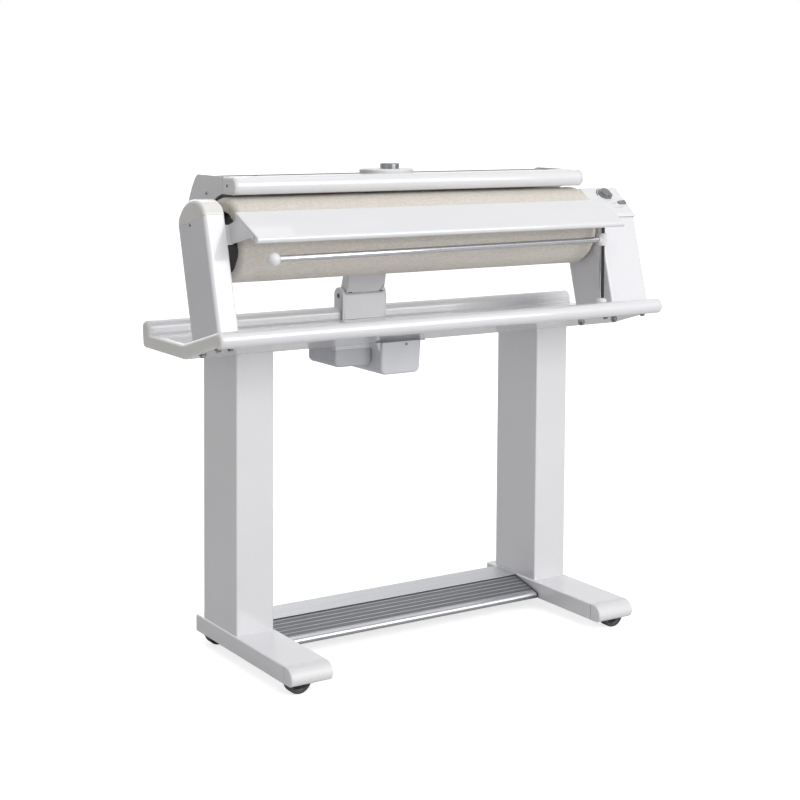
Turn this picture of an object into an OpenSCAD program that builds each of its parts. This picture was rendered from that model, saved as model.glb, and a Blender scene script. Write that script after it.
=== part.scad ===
// Flatwork ironer on a two-column stand with castor rolls.
// A padded roller turns between two leaning housings on a folded tray. A heated shoe closes over
// the back of the roller on an arm hinged at the rear edge of the tray. X runs along the roller,
// -Y is the operator's side, +Z is up and z = 0 is the floor.

/* [Tray] */
// Length of the tray profile between its end caps
tray_len = 1008; // [940:4:1200]
// Thickness of each tray end cap
tray_cap_t = 8; // [4:1:14]
// Thickness of the flat bed of the tray
tray_t = 28; // [22:1:32]
// Sheet of the hollow tray profile
tray_wall = 2.5; // [1.5:0.5:4]
// Height of the tray's underside above the floor
bed_h = 597; // [540:1:680]
// Where the fold between bed and wing lies, measured to the rear of the middle of the feet
fold_y = 12.6; // [6:0.2:18]
// Slope of the front wing
wing_angle = 15.4; // [12:0.2:18]
// Length of the wing from the fold to the middle of its round nose
wing_run = 142.8; // [138:0.4:160]
// Thickness of the wing where it meets its nose
wing_end_t = 25; // [20:1:27]
// Radius of the round noses of the tray
nose_r = 15; // [13:0.5:17]
// Depth of the bed from the fold to the middle of the rear nose
bed_depth = 164.4; // [162:0.4:168]
// Height of the middle of the rear nose above the bed's top
rear_nose_rise = 10; // [8:1:14]

/* [Stand] */
// Distance of each column's middle inward from the end of the tray's profile
stand_in = 149.7; // [140:0.1:160]
// Width of a column
col_w = 80; // [60:1:84]
// Depth of a column
col_d = 140; // [110:1:142]
// Distance of a column's front behind the fold
col_front = 13.9; // [12:0.1:24]
// Wall of a column tube
col_wall = 2; // [1.5:0.5:4]
// Width of a foot beam
foot_w = 87; // [80:1:100]
// Height of a foot beam
foot_h = 34; // [30:1:40]
// Length of a foot with its end caps
foot_len = 390; // [384:1:440]
// Height of the gap between floor and foot
foot_gap = 21.7; // [18:0.1:23]
// Wall of a foot beam
foot_wall = 2.5; // [2:0.5:4]
// Length of the round front cap of a foot
front_cap_len = 30; // [26:1:36]
// Radius of the round top edge of a front cap
front_cap_r = 22; // [16:1:24]
// Thickness of the rear cap of a foot
rear_cap_t = 4; // [2:1:8]

/* [Castor rolls] */
// Radius of a castor roll
wheel_r = 25; // [23:0.5:26]
// Width of a castor roll
wheel_w = 20; // [14:1:24]
// Distance of a castor roll outward from the middle of its foot
wheel_out = 13; // [8:1:14]
// Distance of a castor roll's outer face inward from the end of its foot
wheel_in = 24; // [20:1:40]
// Diameter of a castor roll's axle
axle_d = 8; // [6:0.5:10]

/* [Cross beam and pedal] */
// Height of the cross beam's top above the floor
beam_top = 56.5; // [54:0.5:60]
// Distance of the front edge of the cross beam's top inward from the rear end of the feet
beam_in = 111; // [105:1:115]
// Depth of the flat top of the cross beam
beam_flat = 68; // [60:1:72]
// Depth of the sloping rear part of the cross beam
beam_slope = 40; // [30:1:40]
// Drop of the sloping rear part
beam_drop = 12.5; // [8:0.5:16]
// Wall of the cross beam
beam_wall = 2; // [1.5:0.5:3]
// Depth of the pedal from its hinge to the middle of its round nose
pedal_reach = 75.3; // [70:0.5:80]
// Drop of the pedal from its hinge to the middle of its round nose
pedal_drop = 19; // [16:0.5:20]
// Radius of the pedal's round nose
pedal_nose_r = 6.8; // [6:0.2:7.4]
// Number of grip ridges on the pedal
pedal_ridges = 6; // [4:1:8]
// Height of a grip ridge
ridge_h = 1; // [0.6:0.2:1.4]
// Diameter of the pedal's hinge pin
pedal_pin_d = 5; // [4:0.5:6]

/* [Housings] */
// Height of the left housing along its lean
housing_h = 255; // [250:1:262]
// Where the middle of both housings stands on the wing, from the fold
housing_mid = 65; // [63:0.5:67]
// Depth of the left housing
left_depth = 113; // [104:1:118]
// Width of the left housing
left_w = 41; // [38:1:43]
// Depth of the right housing
right_depth = 121; // [112:1:124]
// Width of the right housing
right_w = 97.3; // [95:0.1:99]
// Distance of each housing's outer face from the end of the tray
housing_inset = 13; // [8:1:14]
// Sheet of the housings
housing_wall = 2.5; // [2:0.5:3.5]
// Height of the seam under the left cap
left_seam = 216; // [214:1:218]
// Radius of the shoulders of the arched caps
shoulder_r = 27; // [22:1:30]
// Height of the seam under the control panel
right_seam = 179; // [177:1:182]
// Height of the control panel's top edge
panel_top = 252.5; // [250:0.5:258]
// Where the control panel's top edge lies, from the fold
panel_top_run = 80.5; // [78:0.5:84]
// Thickness of the control panel's front lip
panel_lip = 6; // [4:0.5:8]
// Distance that the lip stands out from the housing's front
lip_out = 4.5; // [2:0.5:6]

/* [Controls] */
// Diameter of the temperature knob
temp_knob_d = 30; // [24:1:34]
// Height of the temperature knob
temp_knob_h = 9; // [6:1:14]
// Place of the temperature knob across the right housing, from its inner face
temp_knob_in = 52; // [44:1:56]
// Place of the temperature knob down the panel, from its top edge
temp_knob_down = 22; // [20:1:28]
// Length of the rocker switch
rocker_len = 21; // [18:1:26]
// Width of the rocker switch
rocker_w = 9; // [7:1:11]
// Place of the rocker switch across the right housing, from its inner face
rocker_in = 80; // [76:1:80]
// Place of the rocker switch down the panel, from its top edge
rocker_down = 50; // [48:1:54]

/* [Roller] */
// Radius of the padded roller
roller_r = 80; // [77:0.5:80]
// Distance of the roller's right end from the right housing
roller_end_gap = 6.5; // [5.5:0.5:14]
// Distance of the roller's left end from the left housing
roller_gap = 26; // [25.5:0.5:27]
// Height of the roller's axis above the bed's top
roller_rise = 187.4; // [184:0.2:190]
// Thickness of the padding with its cloth
pad_t = 10; // [8:0.5:14]
// Wall of the roller's core tube
core_wall = 2; // [1.5:0.5:4]
// Radius of the round edge of the padding
pad_edge_r = 9.5; // [5:0.5:9.5]
// Diameter of the roller's shaft
shaft_d = 20; // [16:1:22]
// Depth of the recess at each end of the roller
end_recess = 14; // [10:1:20]

/* [Roller drive] */
// Module of the roller's gear pair
roller_module = 1.5; // [1.25:0.05:1.6]
// Teeth of the roller's gear, a whole number of fours
roller_teeth = 48; // [44:4:48]
// Teeth of the motor pinion
motor_teeth = 12; // [11:1:12]
// Face width of the gears
gear_w = 12; // [8:1:14]
// Diameter of the gear motor
motor_d = 56; // [44:1:60]
// Length of the gear motor
motor_len = 48; // [36:1:50]

/* [Heater shoe] */
// Gap between the shoe and the roller while open
shoe_gap = 5.5; // [4.5:0.5:7]
// Thickness of the curved shoe
shoe_t = 6; // [4:0.5:8]
// Radius of the round back of the shoe's cover, about the roller's axis
cover_r = 166.5; // [160:0.5:170]
// Height of the shoe's flat top above the roller's axis
cover_top = 117.6; // [116:0.2:118.4]
// Sheet of the shoe's cover
cover_t = 2; // [1:0.5:3]
// Distance of the shoe's left end from the roller's left end
shoe_inset = 5; // [4.5:0.5:6]
// Thickness of the shoe's end plates
plate_t = 3; // [2:0.5:5]
// Distance that the end plates stand out past the cover
plate_rise = 3.5; // [2:0.5:5]
// Where the shoe's front edge lies behind the roller's axis
shoe_front = 8.4; // [8:0.2:9]
// Angle of the shoe's lower edge below the roller's axis
shoe_low_angle = 12; // [8:1:14]
// Radius of the cover's rear top edge
cover_edge_r = 24; // [20:1:28]
// Diameter of a heating element
element_d = 8; // [6:0.5:9]
// Number of heating elements
elements = 4; // [3:1:4]

/* [Finger guard] */
// Depth of the finger guard
guard_d = 52; // [46:1:54]
// Height of the finger guard
guard_h = 33; // [30:1:33]
// Wall of the finger guard
guard_wall = 2; // [1.5:0.5:3]
// Thickness of the guard's end caps
guard_cap_t = 6; // [4:1:8]
// Diameter of the guard's hinge pin
guard_pin_d = 4; // [3:0.5:5]

/* [Top controls] */
// Length of the round-ended disc on the shoe
disc_len = 112; // [104:1:118]
// Depth of the disc
disc_depth = 82; // [76:1:88]
// Thickness of the disc
disc_t = 10; // [8:0.5:12]
// Diameter of the pressure knob
press_knob_d = 38; // [34:1:42]
// Height of the pressure knob
press_knob_h = 11; // [8:1:14]

/* [Shoe arm] */
// Width of the arm
arm_w = 88; // [80:1:90]
// Middle of the arm along the ironer
arm_x = -33.8; // [-45:0.2:-30]
// Thickness of the arm
arm_t = 19; // [16:1:20]
// Width of the arm bracket
bracket_w = 105; // [100:0.5:110]
// Depth of the arm bracket
bracket_d = 36; // [34:0.5:38]
// Height of the arm's hinge above the bed's top
pivot_rise = 47.9; // [46:0.1:50]
// Where the arm's hinge lies behind the fold
pivot_back = 158.9; // [157:0.1:161]
// Diameter of the arm's hinge pin
pivot_d = 12; // [10:0.5:14]

/* [Shoe drive] */
// Module of the shoe's toothed sector
sector_module = 2; // [1.9:0.05:2]
// Teeth that the sector would have as a full wheel, a whole number of fours
sector_teeth = 96; // [96:4:100]
// Teeth that are cut on the sector
sector_cut = 7; // [7:2:9]
// Teeth of the lift pinion, a whole number of fours
lift_teeth = 12; // [12:4:12]
// Thickness of the sector
sector_t = 10; // [8:1:12]
// Depth of the left lobe of the drive housing
left_lobe_d = 104; // [90:1:108]
// Depth of the left lobe of the drive housing below the tray
left_lobe_h = 48; // [44:1:52]
// Depth of the right lobe of the drive housing below the tray
right_lobe_h = 65; // [62:1:70]
// Left edge of the drive housing
lobe_x0 = -173; // [-180:1:-168]
// Left edge of the right lobe
lobe_x1 = -87.2; // [-90:0.2:-85]
// Right edge of the right lobe
lobe_x2 = 7; // [4:0.5:9]
// Wall of the drive housing
lobe_wall = 2.5; // [2:0.5:3.5]

/* [Feed board] */
// Depth of the feed board's sheet along its slope
board_run = 91; // [86:1:91]
// Slope of the feed board
board_angle = 25.2; // [24:0.2:27]
// Sheet of the feed board
board_t = 3; // [2:0.5:4]
// Radius of the feed board's rolled front edge
board_nose_r = 6.5; // [5:0.5:7.5]
// Distance of the board's rear edge in front of the roller's axis
board_front = 76.9; // [75:0.1:80]
// Height of the board's rear edge above the roller's axis
board_rise = 57.1; // [55:0.1:60]
// Distance of the board's right end from the roller's right end
board_over = 2; // [1.5:0.5:3]

/* [Linen rail] */
// Diameter of the linen rail
rail_d = 12; // [8:0.5:12]
// Length of the rail from its post to the middle of its ball
rail_len = 797; // [740:1:800]
// Angle at which the rail stands open at rest
rail_open = 3.74; // [3.5:0.02:6]
// Diameter of the rail's ball
ball_d = 25; // [20:0.5:26]
// Diameter of the vertical post
post_d = 10; // [8:0.5:10]
// Distance of the post from the right housing
post_gap = 17.5; // [17:0.5:20]
// Where the post stands in front of the middle of the feet
post_front = 94; // [93:0.5:96]
// Height of the rail above the bed's top
rail_rise = 164.5; // [160:0.5:168]
// Height of the rail's clamp
clamp_h = 25; // [20:1:28]
// Diameter of the rail's clamp
clamp_d = 19; // [16:0.5:21]

/* [Hidden] */
$fn = 64;

// Overrun of every cut past the face that it opens
over = 1;
// Running fit of a pin in its bore, on the radius
fit = 0.05;
// Clearance between pieces that move past each other
gap = 0.6;

// Tray
bed_top = bed_h + tray_t;
tray_end = tray_len / 2 + tray_cap_t;
fold_low_y = fold_y - tray_t * tan(wing_angle / 2);
rear_nose_y = fold_y + bed_depth;
rear_nose_z = bed_top + rear_nose_rise;
heel_r = nose_r * 0.6;
bed_back_y = rear_nose_y - nose_r / 2;
// Stand
foot_top = foot_gap + foot_h;
stand_x = tray_len / 2 - stand_in;
col_y = fold_y + col_front + col_d / 2;
wheel_face_y = foot_len / 2 - wheel_in;
beam_front_y = foot_len / 2 - beam_in;
foot_inner = stand_x - foot_w / 2;
foot_front_y = -foot_len / 2;
foot_back_y = foot_len / 2;
corner_r = 3;
// Roller
roller_z = bed_top + roller_rise;
roller_y = fold_y;
left_x0 = -tray_end + housing_inset + tray_cap_t / 4;
left_x1 = left_x0 + left_w;
right_x1 = tray_end - housing_inset + tray_cap_t * 0.35;
right_x0 = right_x1 - right_w;
roller_x0 = left_x1 + roller_gap;
roller_x1 = right_x0 - roller_end_gap;
roller_len = roller_x1 - roller_x0;
core_r = roller_r - pad_t;

// A point of the wing's frame: run along the slope from the fold, rise square to the wing
function on_wing(run, rise) = [
    fold_y - run * cos(wing_angle) + rise * sin(wing_angle),
    bed_top + run * sin(wing_angle) + rise * cos(wing_angle)];
// A point at an angle and radius about the roller's axis, in the Y-Z plane
function about_roller(angle, radius) =
    [roller_y + radius * cos(angle), roller_z + radius * sin(angle)];
// The corner of two straight lines, each given by a point and a direction
function meet(p, u, q, v) =
    let (k = ((q.x - p.x) * v.y - (q.y - p.y) * v.x) / (u.x * v.y - u.y * v.x))
    [p.x + k * u.x, p.y + k * u.y];
// Radius of the crown that joins two shoulders into one smooth arch
function crown_r(half, rise, shoulder) =
    (pow(half - shoulder, 2) + rise * rise - shoulder * shoulder) / (2 * (rise - shoulder));
// Where a line from p touches the circle about c, on its left side
function touch(p, c, r) =
    let (d = norm(c - p), base = atan2(c.y - p.y, c.x - p.x), turn = asin(r / d),
        reach = sqrt(d * d - r * r))
    [p.x + reach * cos(base - turn), p.y + reach * sin(base - turn)];

// Extrudes a Y-Z outline along X
module span_x(x0, len) {
    translate([x0, 0, 0]) rotate([90, 0, 90]) linear_extrude(len) children();
}
// A round bar along X
module bar_x(x0, len, y, z, r) {
    translate([x0, y, z]) rotate([0, 90, 0]) cylinder(h = len, r = r);
}
// Puts an outline drawn as run and rise onto the wing
module wing_frame() {
    translate([fold_y, bed_top]) rotate(-wing_angle) mirror([1, 0]) children();
}
// A rectangle with round corners
module round_rect(w, h, r) {
    square([w - 2 * r, h], center = true);
    square([w, h - 2 * r], center = true);
    for (sx = [-1, 1], sy = [-1, 1])
        translate([sx * (w / 2 - r), sy * (h / 2 - r)]) circle(r);
}
// A hexagon-headed bolt that points along +Z from its head's underside
module bolt(head_d, head_h, shank_d, shank_len) {
    translate([0, 0, -head_h]) cylinder(h = head_h, d = head_d);
    cylinder(h = shank_len, d = shank_d);
}
// A toothed wheel's outline with straight-flanked teeth
module gear_outline(teeth, module_mm, cut) {
    tip = module_mm * teeth / 2 + module_mm * tip_share;
    root = module_mm * teeth / 2 - module_mm * root_share;
    circle(root);
    for (i = [0 : cut - 1]) rotate((i - (cut - 1) / 2) * 360 / teeth)
        polygon([[root - module_mm, -module_mm * base_share], [root, -module_mm * base_share],
            [tip, -module_mm * top_share], [tip, module_mm * top_share],
            [root, module_mm * base_share], [root - module_mm, module_mm * base_share]]);
}
// Tooth height above and below the pitch circle, and half widths at tip and foot, in modules
tip_share = 0.82;
root_share = 1.15;
top_share = 0.33;
base_share = 1;

// Tray outline
module tray_outline() {
    wing_tip = on_wing(wing_run, 0);
    nose_c = on_wing(wing_run, -nose_r);
    rear_c = [rear_nose_y, rear_nose_z];
    corner_c = [rear_nose_y + nose_r - heel_r * 1.3, bed_h + heel_r];
    way = rear_c - corner_c;
    // Direction square to the straight back, which touches both round corners
    turn = atan2(way.y, way.x) - acos((heel_r - nose_r) / norm(way));
    square_out = [cos(turn), sin(turn)];
    polygon([[fold_y, bed_top], wing_tip, on_wing(wing_run, -wing_end_t), [fold_low_y, bed_h],
        [corner_c.x, bed_h], corner_c, corner_c + heel_r * square_out,
        rear_c + nose_r * square_out, rear_c, [rear_nose_y - nose_r, rear_nose_z],
        [rear_nose_y - nose_r, bed_top]]);
    translate(nose_c) circle(nose_r);
    translate(rear_c) circle(nose_r);
    translate(corner_c) circle(heel_r);
}
// Hollows of the tray profile
module tray_hollows() {
    polygon([on_wing(tray_wall, -tray_wall), on_wing(wing_run - nose_r, -tray_wall),
        on_wing(wing_run - nose_r, tray_wall - wing_end_t),
        on_wing(tray_wall, tray_wall * 2 - tray_t)]);
    polygon([[fold_y + tray_wall, bed_h + tray_wall],
        [rear_nose_y - nose_r - tray_wall, bed_h + tray_wall],
        [rear_nose_y - nose_r - tray_wall, bed_top - tray_wall],
        [fold_y + tray_wall, bed_top - tray_wall]]);
    translate(on_wing(wing_run, -nose_r)) circle(nose_r - tray_wall);
    translate([rear_nose_y, rear_nose_z]) circle(nose_r - tray_wall);
}
lever_w = 16;
lever_swing = 24;
module lever_slot(x_extra) {
    translate([arm_x - sector_t / 2 - x_extra, pivot_y - lever_swing, bed_h - over])
        cube([sector_t + 2 * x_extra, lever_swing + lever_w, rear_nose_rise + tray_t + 2 * nose_r]);
}
module tray_profile() {
    color("white") difference() {
        span_x(-tray_len / 2, tray_len) difference() {
            tray_outline();
            tray_hollows();
        }
        lever_slot(slot_side);
        at_tray_bolts() cylinder(h = 3 * tray_wall, d = bolt_d / 2, center = true);
    }
}
slot_side = 2;
module tray_cap(side) {
    x0 = side < 0 ? -tray_end : tray_len / 2;
    color("linen") span_x(x0, tray_cap_t) tray_outline();
}
module tray_cap_left() { tray_cap(-1); }
module tray_cap_right() { tray_cap(1); }

// Stand
module column(side) {
    color("white") translate([side * stand_x, col_y, foot_top]) linear_extrude(bed_h - foot_top)
        difference() {
            round_rect(col_w, col_d, corner_r);
            square([col_w - 2 * col_wall, col_d - 2 * col_wall], center = true);
        }
}
module column_left() { column(-1); }
module column_right() { column(1); }

wheel_x = stand_x + wheel_out;
block_t = 4;
block_w = 20;
block_low = axle_d * 0.75;
window_gap = 3;
window_half = wheel_w / 2 + block_t + 2 * gap;
module foot_windows(side, depth) {
    for (end = [-1, 1])
        translate([side * wheel_x - wheel_r - window_gap,
            end * (wheel_face_y - wheel_w / 2) - window_half, foot_gap - over])
            cube([2 * (wheel_r + window_gap), 2 * window_half, depth + over]);
}
module foot(side) {
    y0 = foot_front_y + front_cap_len;
    y1 = foot_back_y - rear_cap_t;
    color("white") difference() {
        translate([side * stand_x, y1, foot_gap + foot_h / 2]) rotate([90, 0, 0])
            linear_extrude(y1 - y0) difference() {
                round_rect(foot_w, foot_h, corner_r);
                square([foot_w - 2 * foot_wall, foot_h - 2 * foot_wall], center = true);
            }
        foot_windows(side, foot_wall + over);
        bar_x(side * foot_inner - foot_wall * 2, foot_wall * 4, hinge_y, hinge_z,
            pedal_pin_d / 2 + fit);
    }
}
module foot_left() { foot(-1); }
module foot_right() { foot(1); }

module front_cap_outline() {
    y0 = foot_front_y;
    y1 = foot_front_y + front_cap_len;
    low_r = (foot_h - front_cap_r) * 0.85;
    polygon([[y1, foot_gap], [y0 + low_r, foot_gap], [y0, foot_gap + low_r],
        [y0, foot_top - front_cap_r], [y0 + front_cap_r, foot_top], [y1, foot_top]]);
    translate([y0 + front_cap_r, foot_top - front_cap_r]) intersection() {
        circle(front_cap_r);
        translate([-front_cap_r, 0]) square(front_cap_r);
    }
    translate([y0 + low_r, foot_gap + low_r]) circle(low_r);
}
module foot_front_caps() {
    color("white") for (side = [-1, 1]) difference() {
        span_x(side * stand_x - foot_w / 2, foot_w) front_cap_outline();
        foot_windows(side, foot_h - foot_wall);
    }
}
module foot_rear_caps() {
    color("white") for (side = [-1, 1])
        translate([side * stand_x, foot_back_y, foot_gap + foot_h / 2]) rotate([90, 0, 0])
            linear_extrude(rear_cap_t) round_rect(foot_w, foot_h, corner_r);
}

// Castor rolls
module at_wheels() {
    for (side = [-1, 1], end = [-1, 1])
        translate([side * wheel_x, end * (wheel_face_y - wheel_w / 2), wheel_r]) children();
}
module wheel_blocks() {
    color("gray") at_wheels() for (end = [-1, 1]) difference() {
        translate([-block_w / 2, end * (wheel_w / 2 + gap + block_t / 2) - block_t / 2,
            -block_low])
            cube([block_w, block_t, foot_top - foot_wall - wheel_r + block_low]);
        rotate([90, 0, 0]) cylinder(h = wheel_w * 3, d = axle_d, center = true);
    }
}
module wheel_axles() {
    color("silver") at_wheels() rotate([90, 0, 0])
        cylinder(h = wheel_w + 2 * (gap + block_t), d = axle_d, center = true);
}
tread_share = 0.76;
module wheel(side, end) {
    recess = wheel_w / 7;
    chamfer = wheel_w / 12;
    color("dimgray") translate([side * wheel_x, end * (wheel_face_y - wheel_w / 2), wheel_r])
        rotate([90, 0, 0]) rotate_extrude() polygon([
            [axle_d / 2 + fit, -wheel_w / 2], [axle_d, -wheel_w / 2],
            [axle_d, recess - wheel_w / 2], [wheel_r * tread_share, recess - wheel_w / 2],
            [wheel_r * tread_share, -wheel_w / 2], [wheel_r - chamfer, -wheel_w / 2],
            [wheel_r, chamfer - wheel_w / 2], [wheel_r, wheel_w / 2 - chamfer],
            [wheel_r - chamfer, wheel_w / 2], [wheel_r * tread_share, wheel_w / 2],
            [wheel_r * tread_share, wheel_w / 2 - recess], [axle_d, wheel_w / 2 - recess],
            [axle_d, wheel_w / 2], [axle_d / 2 + fit, wheel_w / 2]]);
}
module wheel_front_left() { wheel(-1, -1); }
module wheel_front_right() { wheel(1, -1); }
module wheel_rear_left() { wheel(-1, 1); }
module wheel_rear_right() { wheel(1, 1); }

// Cross beam and pedal
barrel_r = pedal_pin_d / 2 + 3 * pedal_pin_d / 5;
hinge_y = beam_front_y + pedal_pin_d / 2 + gap;
hinge_z = beam_top - beam_wall - barrel_r - gap;
beam_wall_y = hinge_y + barrel_r + gap;
beam_low = foot_gap + foot_wall * 2;
beam_back_y = beam_front_y + beam_flat + beam_slope;
module beam_outline(inset) {
    polygon([[beam_wall_y + inset, beam_low + inset], [beam_wall_y + inset, beam_top - inset],
        [beam_front_y + beam_flat, beam_top - inset],
        [beam_back_y - inset, beam_top - beam_drop - inset], [beam_back_y - inset, beam_low + inset]]);
}
module cross_beam() {
    color("silver") {
        span_x(-foot_inner, 2 * foot_inner) difference() {
            union() {
                beam_outline(0);
                translate([beam_front_y, beam_top - beam_wall])
                    square([beam_wall_y - beam_front_y + over, beam_wall]);
            }
            beam_outline(beam_wall);
        }
        for (side = [-1, 1])
            translate([side * buffer_x - tongue_w / 2, buffer_y - tongue_w / 2, beam_low])
                cube([tongue_w, beam_wall_y - buffer_y + tongue_w / 2, tongue_t]);
    }
}
buffer_x = stand_x * 0.6;
buffer_y = hinge_y - pedal_reach * 0.4;
buffer_r = pedal_nose_r;
tongue_w = buffer_r * 4;
tongue_t = beam_wall * 1.5;
pedal_side_gap = 1;
plate_h = pedal_nose_r * 1.1;
nose_y = hinge_y - pedal_reach;
nose_z = hinge_z - pedal_drop;
pedal_dir = [-pedal_reach, -pedal_drop] / norm([pedal_reach, pedal_drop]);
pedal_up = [pedal_dir.y, -pedal_dir.x];
pedal_len = norm([pedal_reach, pedal_drop]);
function on_pedal(run, rise) = [hinge_y, hinge_z] + run * pedal_dir + rise * pedal_up;
module pedal_outline() {
    top_rise = barrel_r + ridge_h;
    nose_top = pedal_nose_r;
    polygon([on_pedal(barrel_r * 0.6, top_rise), on_pedal(pedal_len, nose_top),
        on_pedal(pedal_len, -nose_top), on_pedal(pedal_len - plate_h, nose_top - plate_h * 1.4),
        on_pedal(barrel_r, barrel_r - ridge_h - plate_h / 2)]);
    translate([nose_y, nose_z]) circle(pedal_nose_r);
    translate([hinge_y, hinge_z]) circle(barrel_r);
    ridge_span = pedal_len - 3 * barrel_r;
    for (i = [0 : pedal_ridges - 1]) {
        run = barrel_r * 1.4 + i * ridge_span / (pedal_ridges - 1);
        rise = top_rise + (nose_top - top_rise) * run / pedal_len;
        polygon([on_pedal(run - ridge_h, rise - ridge_h), on_pedal(run - ridge_h, rise),
            on_pedal(run, rise + ridge_h), on_pedal(run + ridge_h, rise),
            on_pedal(run + ridge_h, rise - ridge_h)]);
    }
}
module pedal() {
    len = 2 * (foot_inner - pedal_side_gap);
    color("darkgray") difference() {
        span_x(-len / 2, len) pedal_outline();
        bar_x(-len, 2 * len, hinge_y, hinge_z, pedal_pin_d / 2 + fit);
    }
}
module pedal_pin() {
    len = 2 * (foot_inner + foot_wall * 1.5);
    color("silver") bar_x(-len / 2, len, hinge_y, hinge_z, pedal_pin_d / 2);
}
function pedal_under(y) = let (k = (hinge_y - y) / pedal_reach)
    hinge_z - k * pedal_drop + barrel_r - ridge_h - plate_h * (0.5 + 0.75 * k);
module pedal_buffers() {
    base = beam_low + tongue_t;
    h = buffer_h;
    color("black") for (side = [-1, 1]) translate([side * buffer_x, buffer_y, base])
        rotate_extrude() polygon([[0, 0], [buffer_r, 0], [buffer_r, h / 5], [buffer_r * 0.7, h / 3],
            [buffer_r, h / 2], [buffer_r * 0.7, h * 0.7], [buffer_r * 0.8, h], [0, h]]);
}
buffer_h = pedal_under(buffer_y - buffer_r) - beam_low - tongue_t - 4 * gap;
module pedal_switch() {
    color("dimgray") translate([buffer_x - tongue_w / 2, beam_wall_y - tongue_w / 2, beam_low + tongue_t])
        cube([tongue_w, tongue_w / 2, tongue_w / 4]);
}

// Housings
module arch(half, rise, shoulder) {
    r = crown_r(half, rise, shoulder);
    c = rise - r;
    wedge = r * (half - shoulder) / (r - shoulder) * 1.2;
    for (side = [-1, 1]) translate([side * (half - shoulder), 0]) intersection() {
        circle(shoulder);
        translate([-shoulder, 0]) square([2 * shoulder, shoulder]);
    }
    intersection() {
        translate([0, c]) circle(r, $fn = 160);
        polygon([[0, c], [wedge, c + 1.2 * r * (-c) / (r - shoulder) * (-1) * (-1)],
            [-wedge, c + 1.2 * r * (-c) / (r - shoulder) * (-1) * (-1)]]);
        translate([-half, 0]) square([2 * half, rise]);
    }
    polygon([[-(half - shoulder), 0], [half - shoulder, 0], [0, rise / 2]]);
}
module left_cap_outline(inset) {
    wing_frame() translate([housing_mid, left_seam])
        arch(left_depth / 2 - inset, housing_h - left_seam - inset, shoulder_r - inset);
}
module left_housing() {
    w2 = housing_wall;
    color("white") difference() {
        span_x(left_x0, left_w) wing_frame()
            translate([housing_mid - left_depth / 2, 0]) square([left_depth, left_seam]);
        span_x(left_x0 + w2, left_w - 2 * w2) wing_frame()
            translate([housing_mid - left_depth / 2 + w2, w2])
                square([left_depth - 2 * w2, left_seam - 2 * w2]);
        bar_x(left_x1 - w2 - over, w2 + 2 * over, roller_y, roller_z, bearing_r);
    }
}
module left_housing_cap() {
    color("linen") difference() {
        span_x(left_x0, left_w) left_cap_outline(0);
        span_x(left_x0 + housing_wall, left_w - 2 * housing_wall) left_cap_outline(housing_wall);
    }
}
right_front_run = housing_mid + right_depth / 2;
right_back_run = housing_mid - right_depth / 2;
panel_low = [right_front_run + lip_out, right_seam + panel_lip];
panel_high = [panel_top_run, panel_top];
panel_slope = atan2(panel_high.y - panel_low.y, panel_low.x - panel_high.x);
module right_housing() {
    w2 = housing_wall;
    color("white") difference() {
        span_x(right_x0, right_w) wing_frame()
            translate([right_back_run, 0]) square([right_depth, right_seam]);
        span_x(right_x0 + w2, right_w - 2 * w2) wing_frame()
            translate([right_back_run + w2, w2])
                square([right_depth - 2 * w2, right_seam]);
        bar_x(right_x0 - over, w2 + 2 * over, roller_y, roller_z, bearing_r);
    }
}
module panel_outline(inset) {
    back = right_back_run + inset;
    sl = inset / cos(panel_slope);
    low = right_seam - (inset > 0 ? over : 0);
    polygon([[back, low], [right_front_run + lip_out - inset * 2, low],
        [panel_low.x - inset * 2, panel_low.y - sl], [panel_high.x, panel_high.y - sl],
        [back + shoulder_r, panel_top - inset], [back + shoulder_r, panel_top - shoulder_r],
        [back, panel_top - shoulder_r]]);
    translate([back + shoulder_r, panel_top - inset - shoulder_r]) intersection() {
        circle(shoulder_r);
        translate([-shoulder_r, 0]) square(shoulder_r);
    }
}
knob_seat_r = temp_knob_d / 6;
// Places children on the control panel, square to it
module on_panel(in, down) {
    run = panel_high.x + down * cos(panel_slope);
    rise = panel_high.y - down * sin(panel_slope);
    p = on_wing(run, rise);
    translate([right_x0 + in, p.x, p.y]) rotate([panel_slope - wing_angle, 0, 0]) children();
}
module control_panel() {
    color("white") difference() {
        span_x(right_x0, right_w) wing_frame() panel_outline(0);
        span_x(right_x0 + housing_wall, right_w - 2 * housing_wall) wing_frame()
            panel_outline(housing_wall);
        translate([right_x0 + housing_wall, roller_y, roller_z]) rotate([0, 90, 0])
            translate([0, 0, -over - housing_wall]) cylinder(h = housing_wall * 3, r = bearing_r);
        on_panel(temp_knob_in, temp_knob_down) translate([0, 0, -3 * housing_wall])
            cylinder(h = 6 * housing_wall, r = knob_seat_r + fit);
        on_panel(rocker_in, rocker_down)
            cube([rocker_len + 2 * gap, rocker_w + gap, 6 * housing_wall], center = true);
    }
}
module temperature_knob() {
    r = temp_knob_d / 2;
    color("gray") on_panel(temp_knob_in, temp_knob_down) {
        translate([0, 0, gap / 2]) difference() {
            rotate_extrude() polygon([[0, 0], [r, 0], [r * 0.94, temp_knob_h / 3],
                [r * 0.8, temp_knob_h / 3], [r * 0.74, temp_knob_h], [0, temp_knob_h]]);
        }
        translate([0, -r * 0.55, gap / 2 + temp_knob_h / 4])
            cylinder(h = temp_knob_h * 0.9, r = r * 0.32);
        translate([0, 0, -2 * housing_wall])
            cylinder(h = 2 * housing_wall + temp_knob_h / 2, r = knob_seat_r);
    }
}
rocker_tilt = 6;
rocker_rise = housing_wall;
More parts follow.
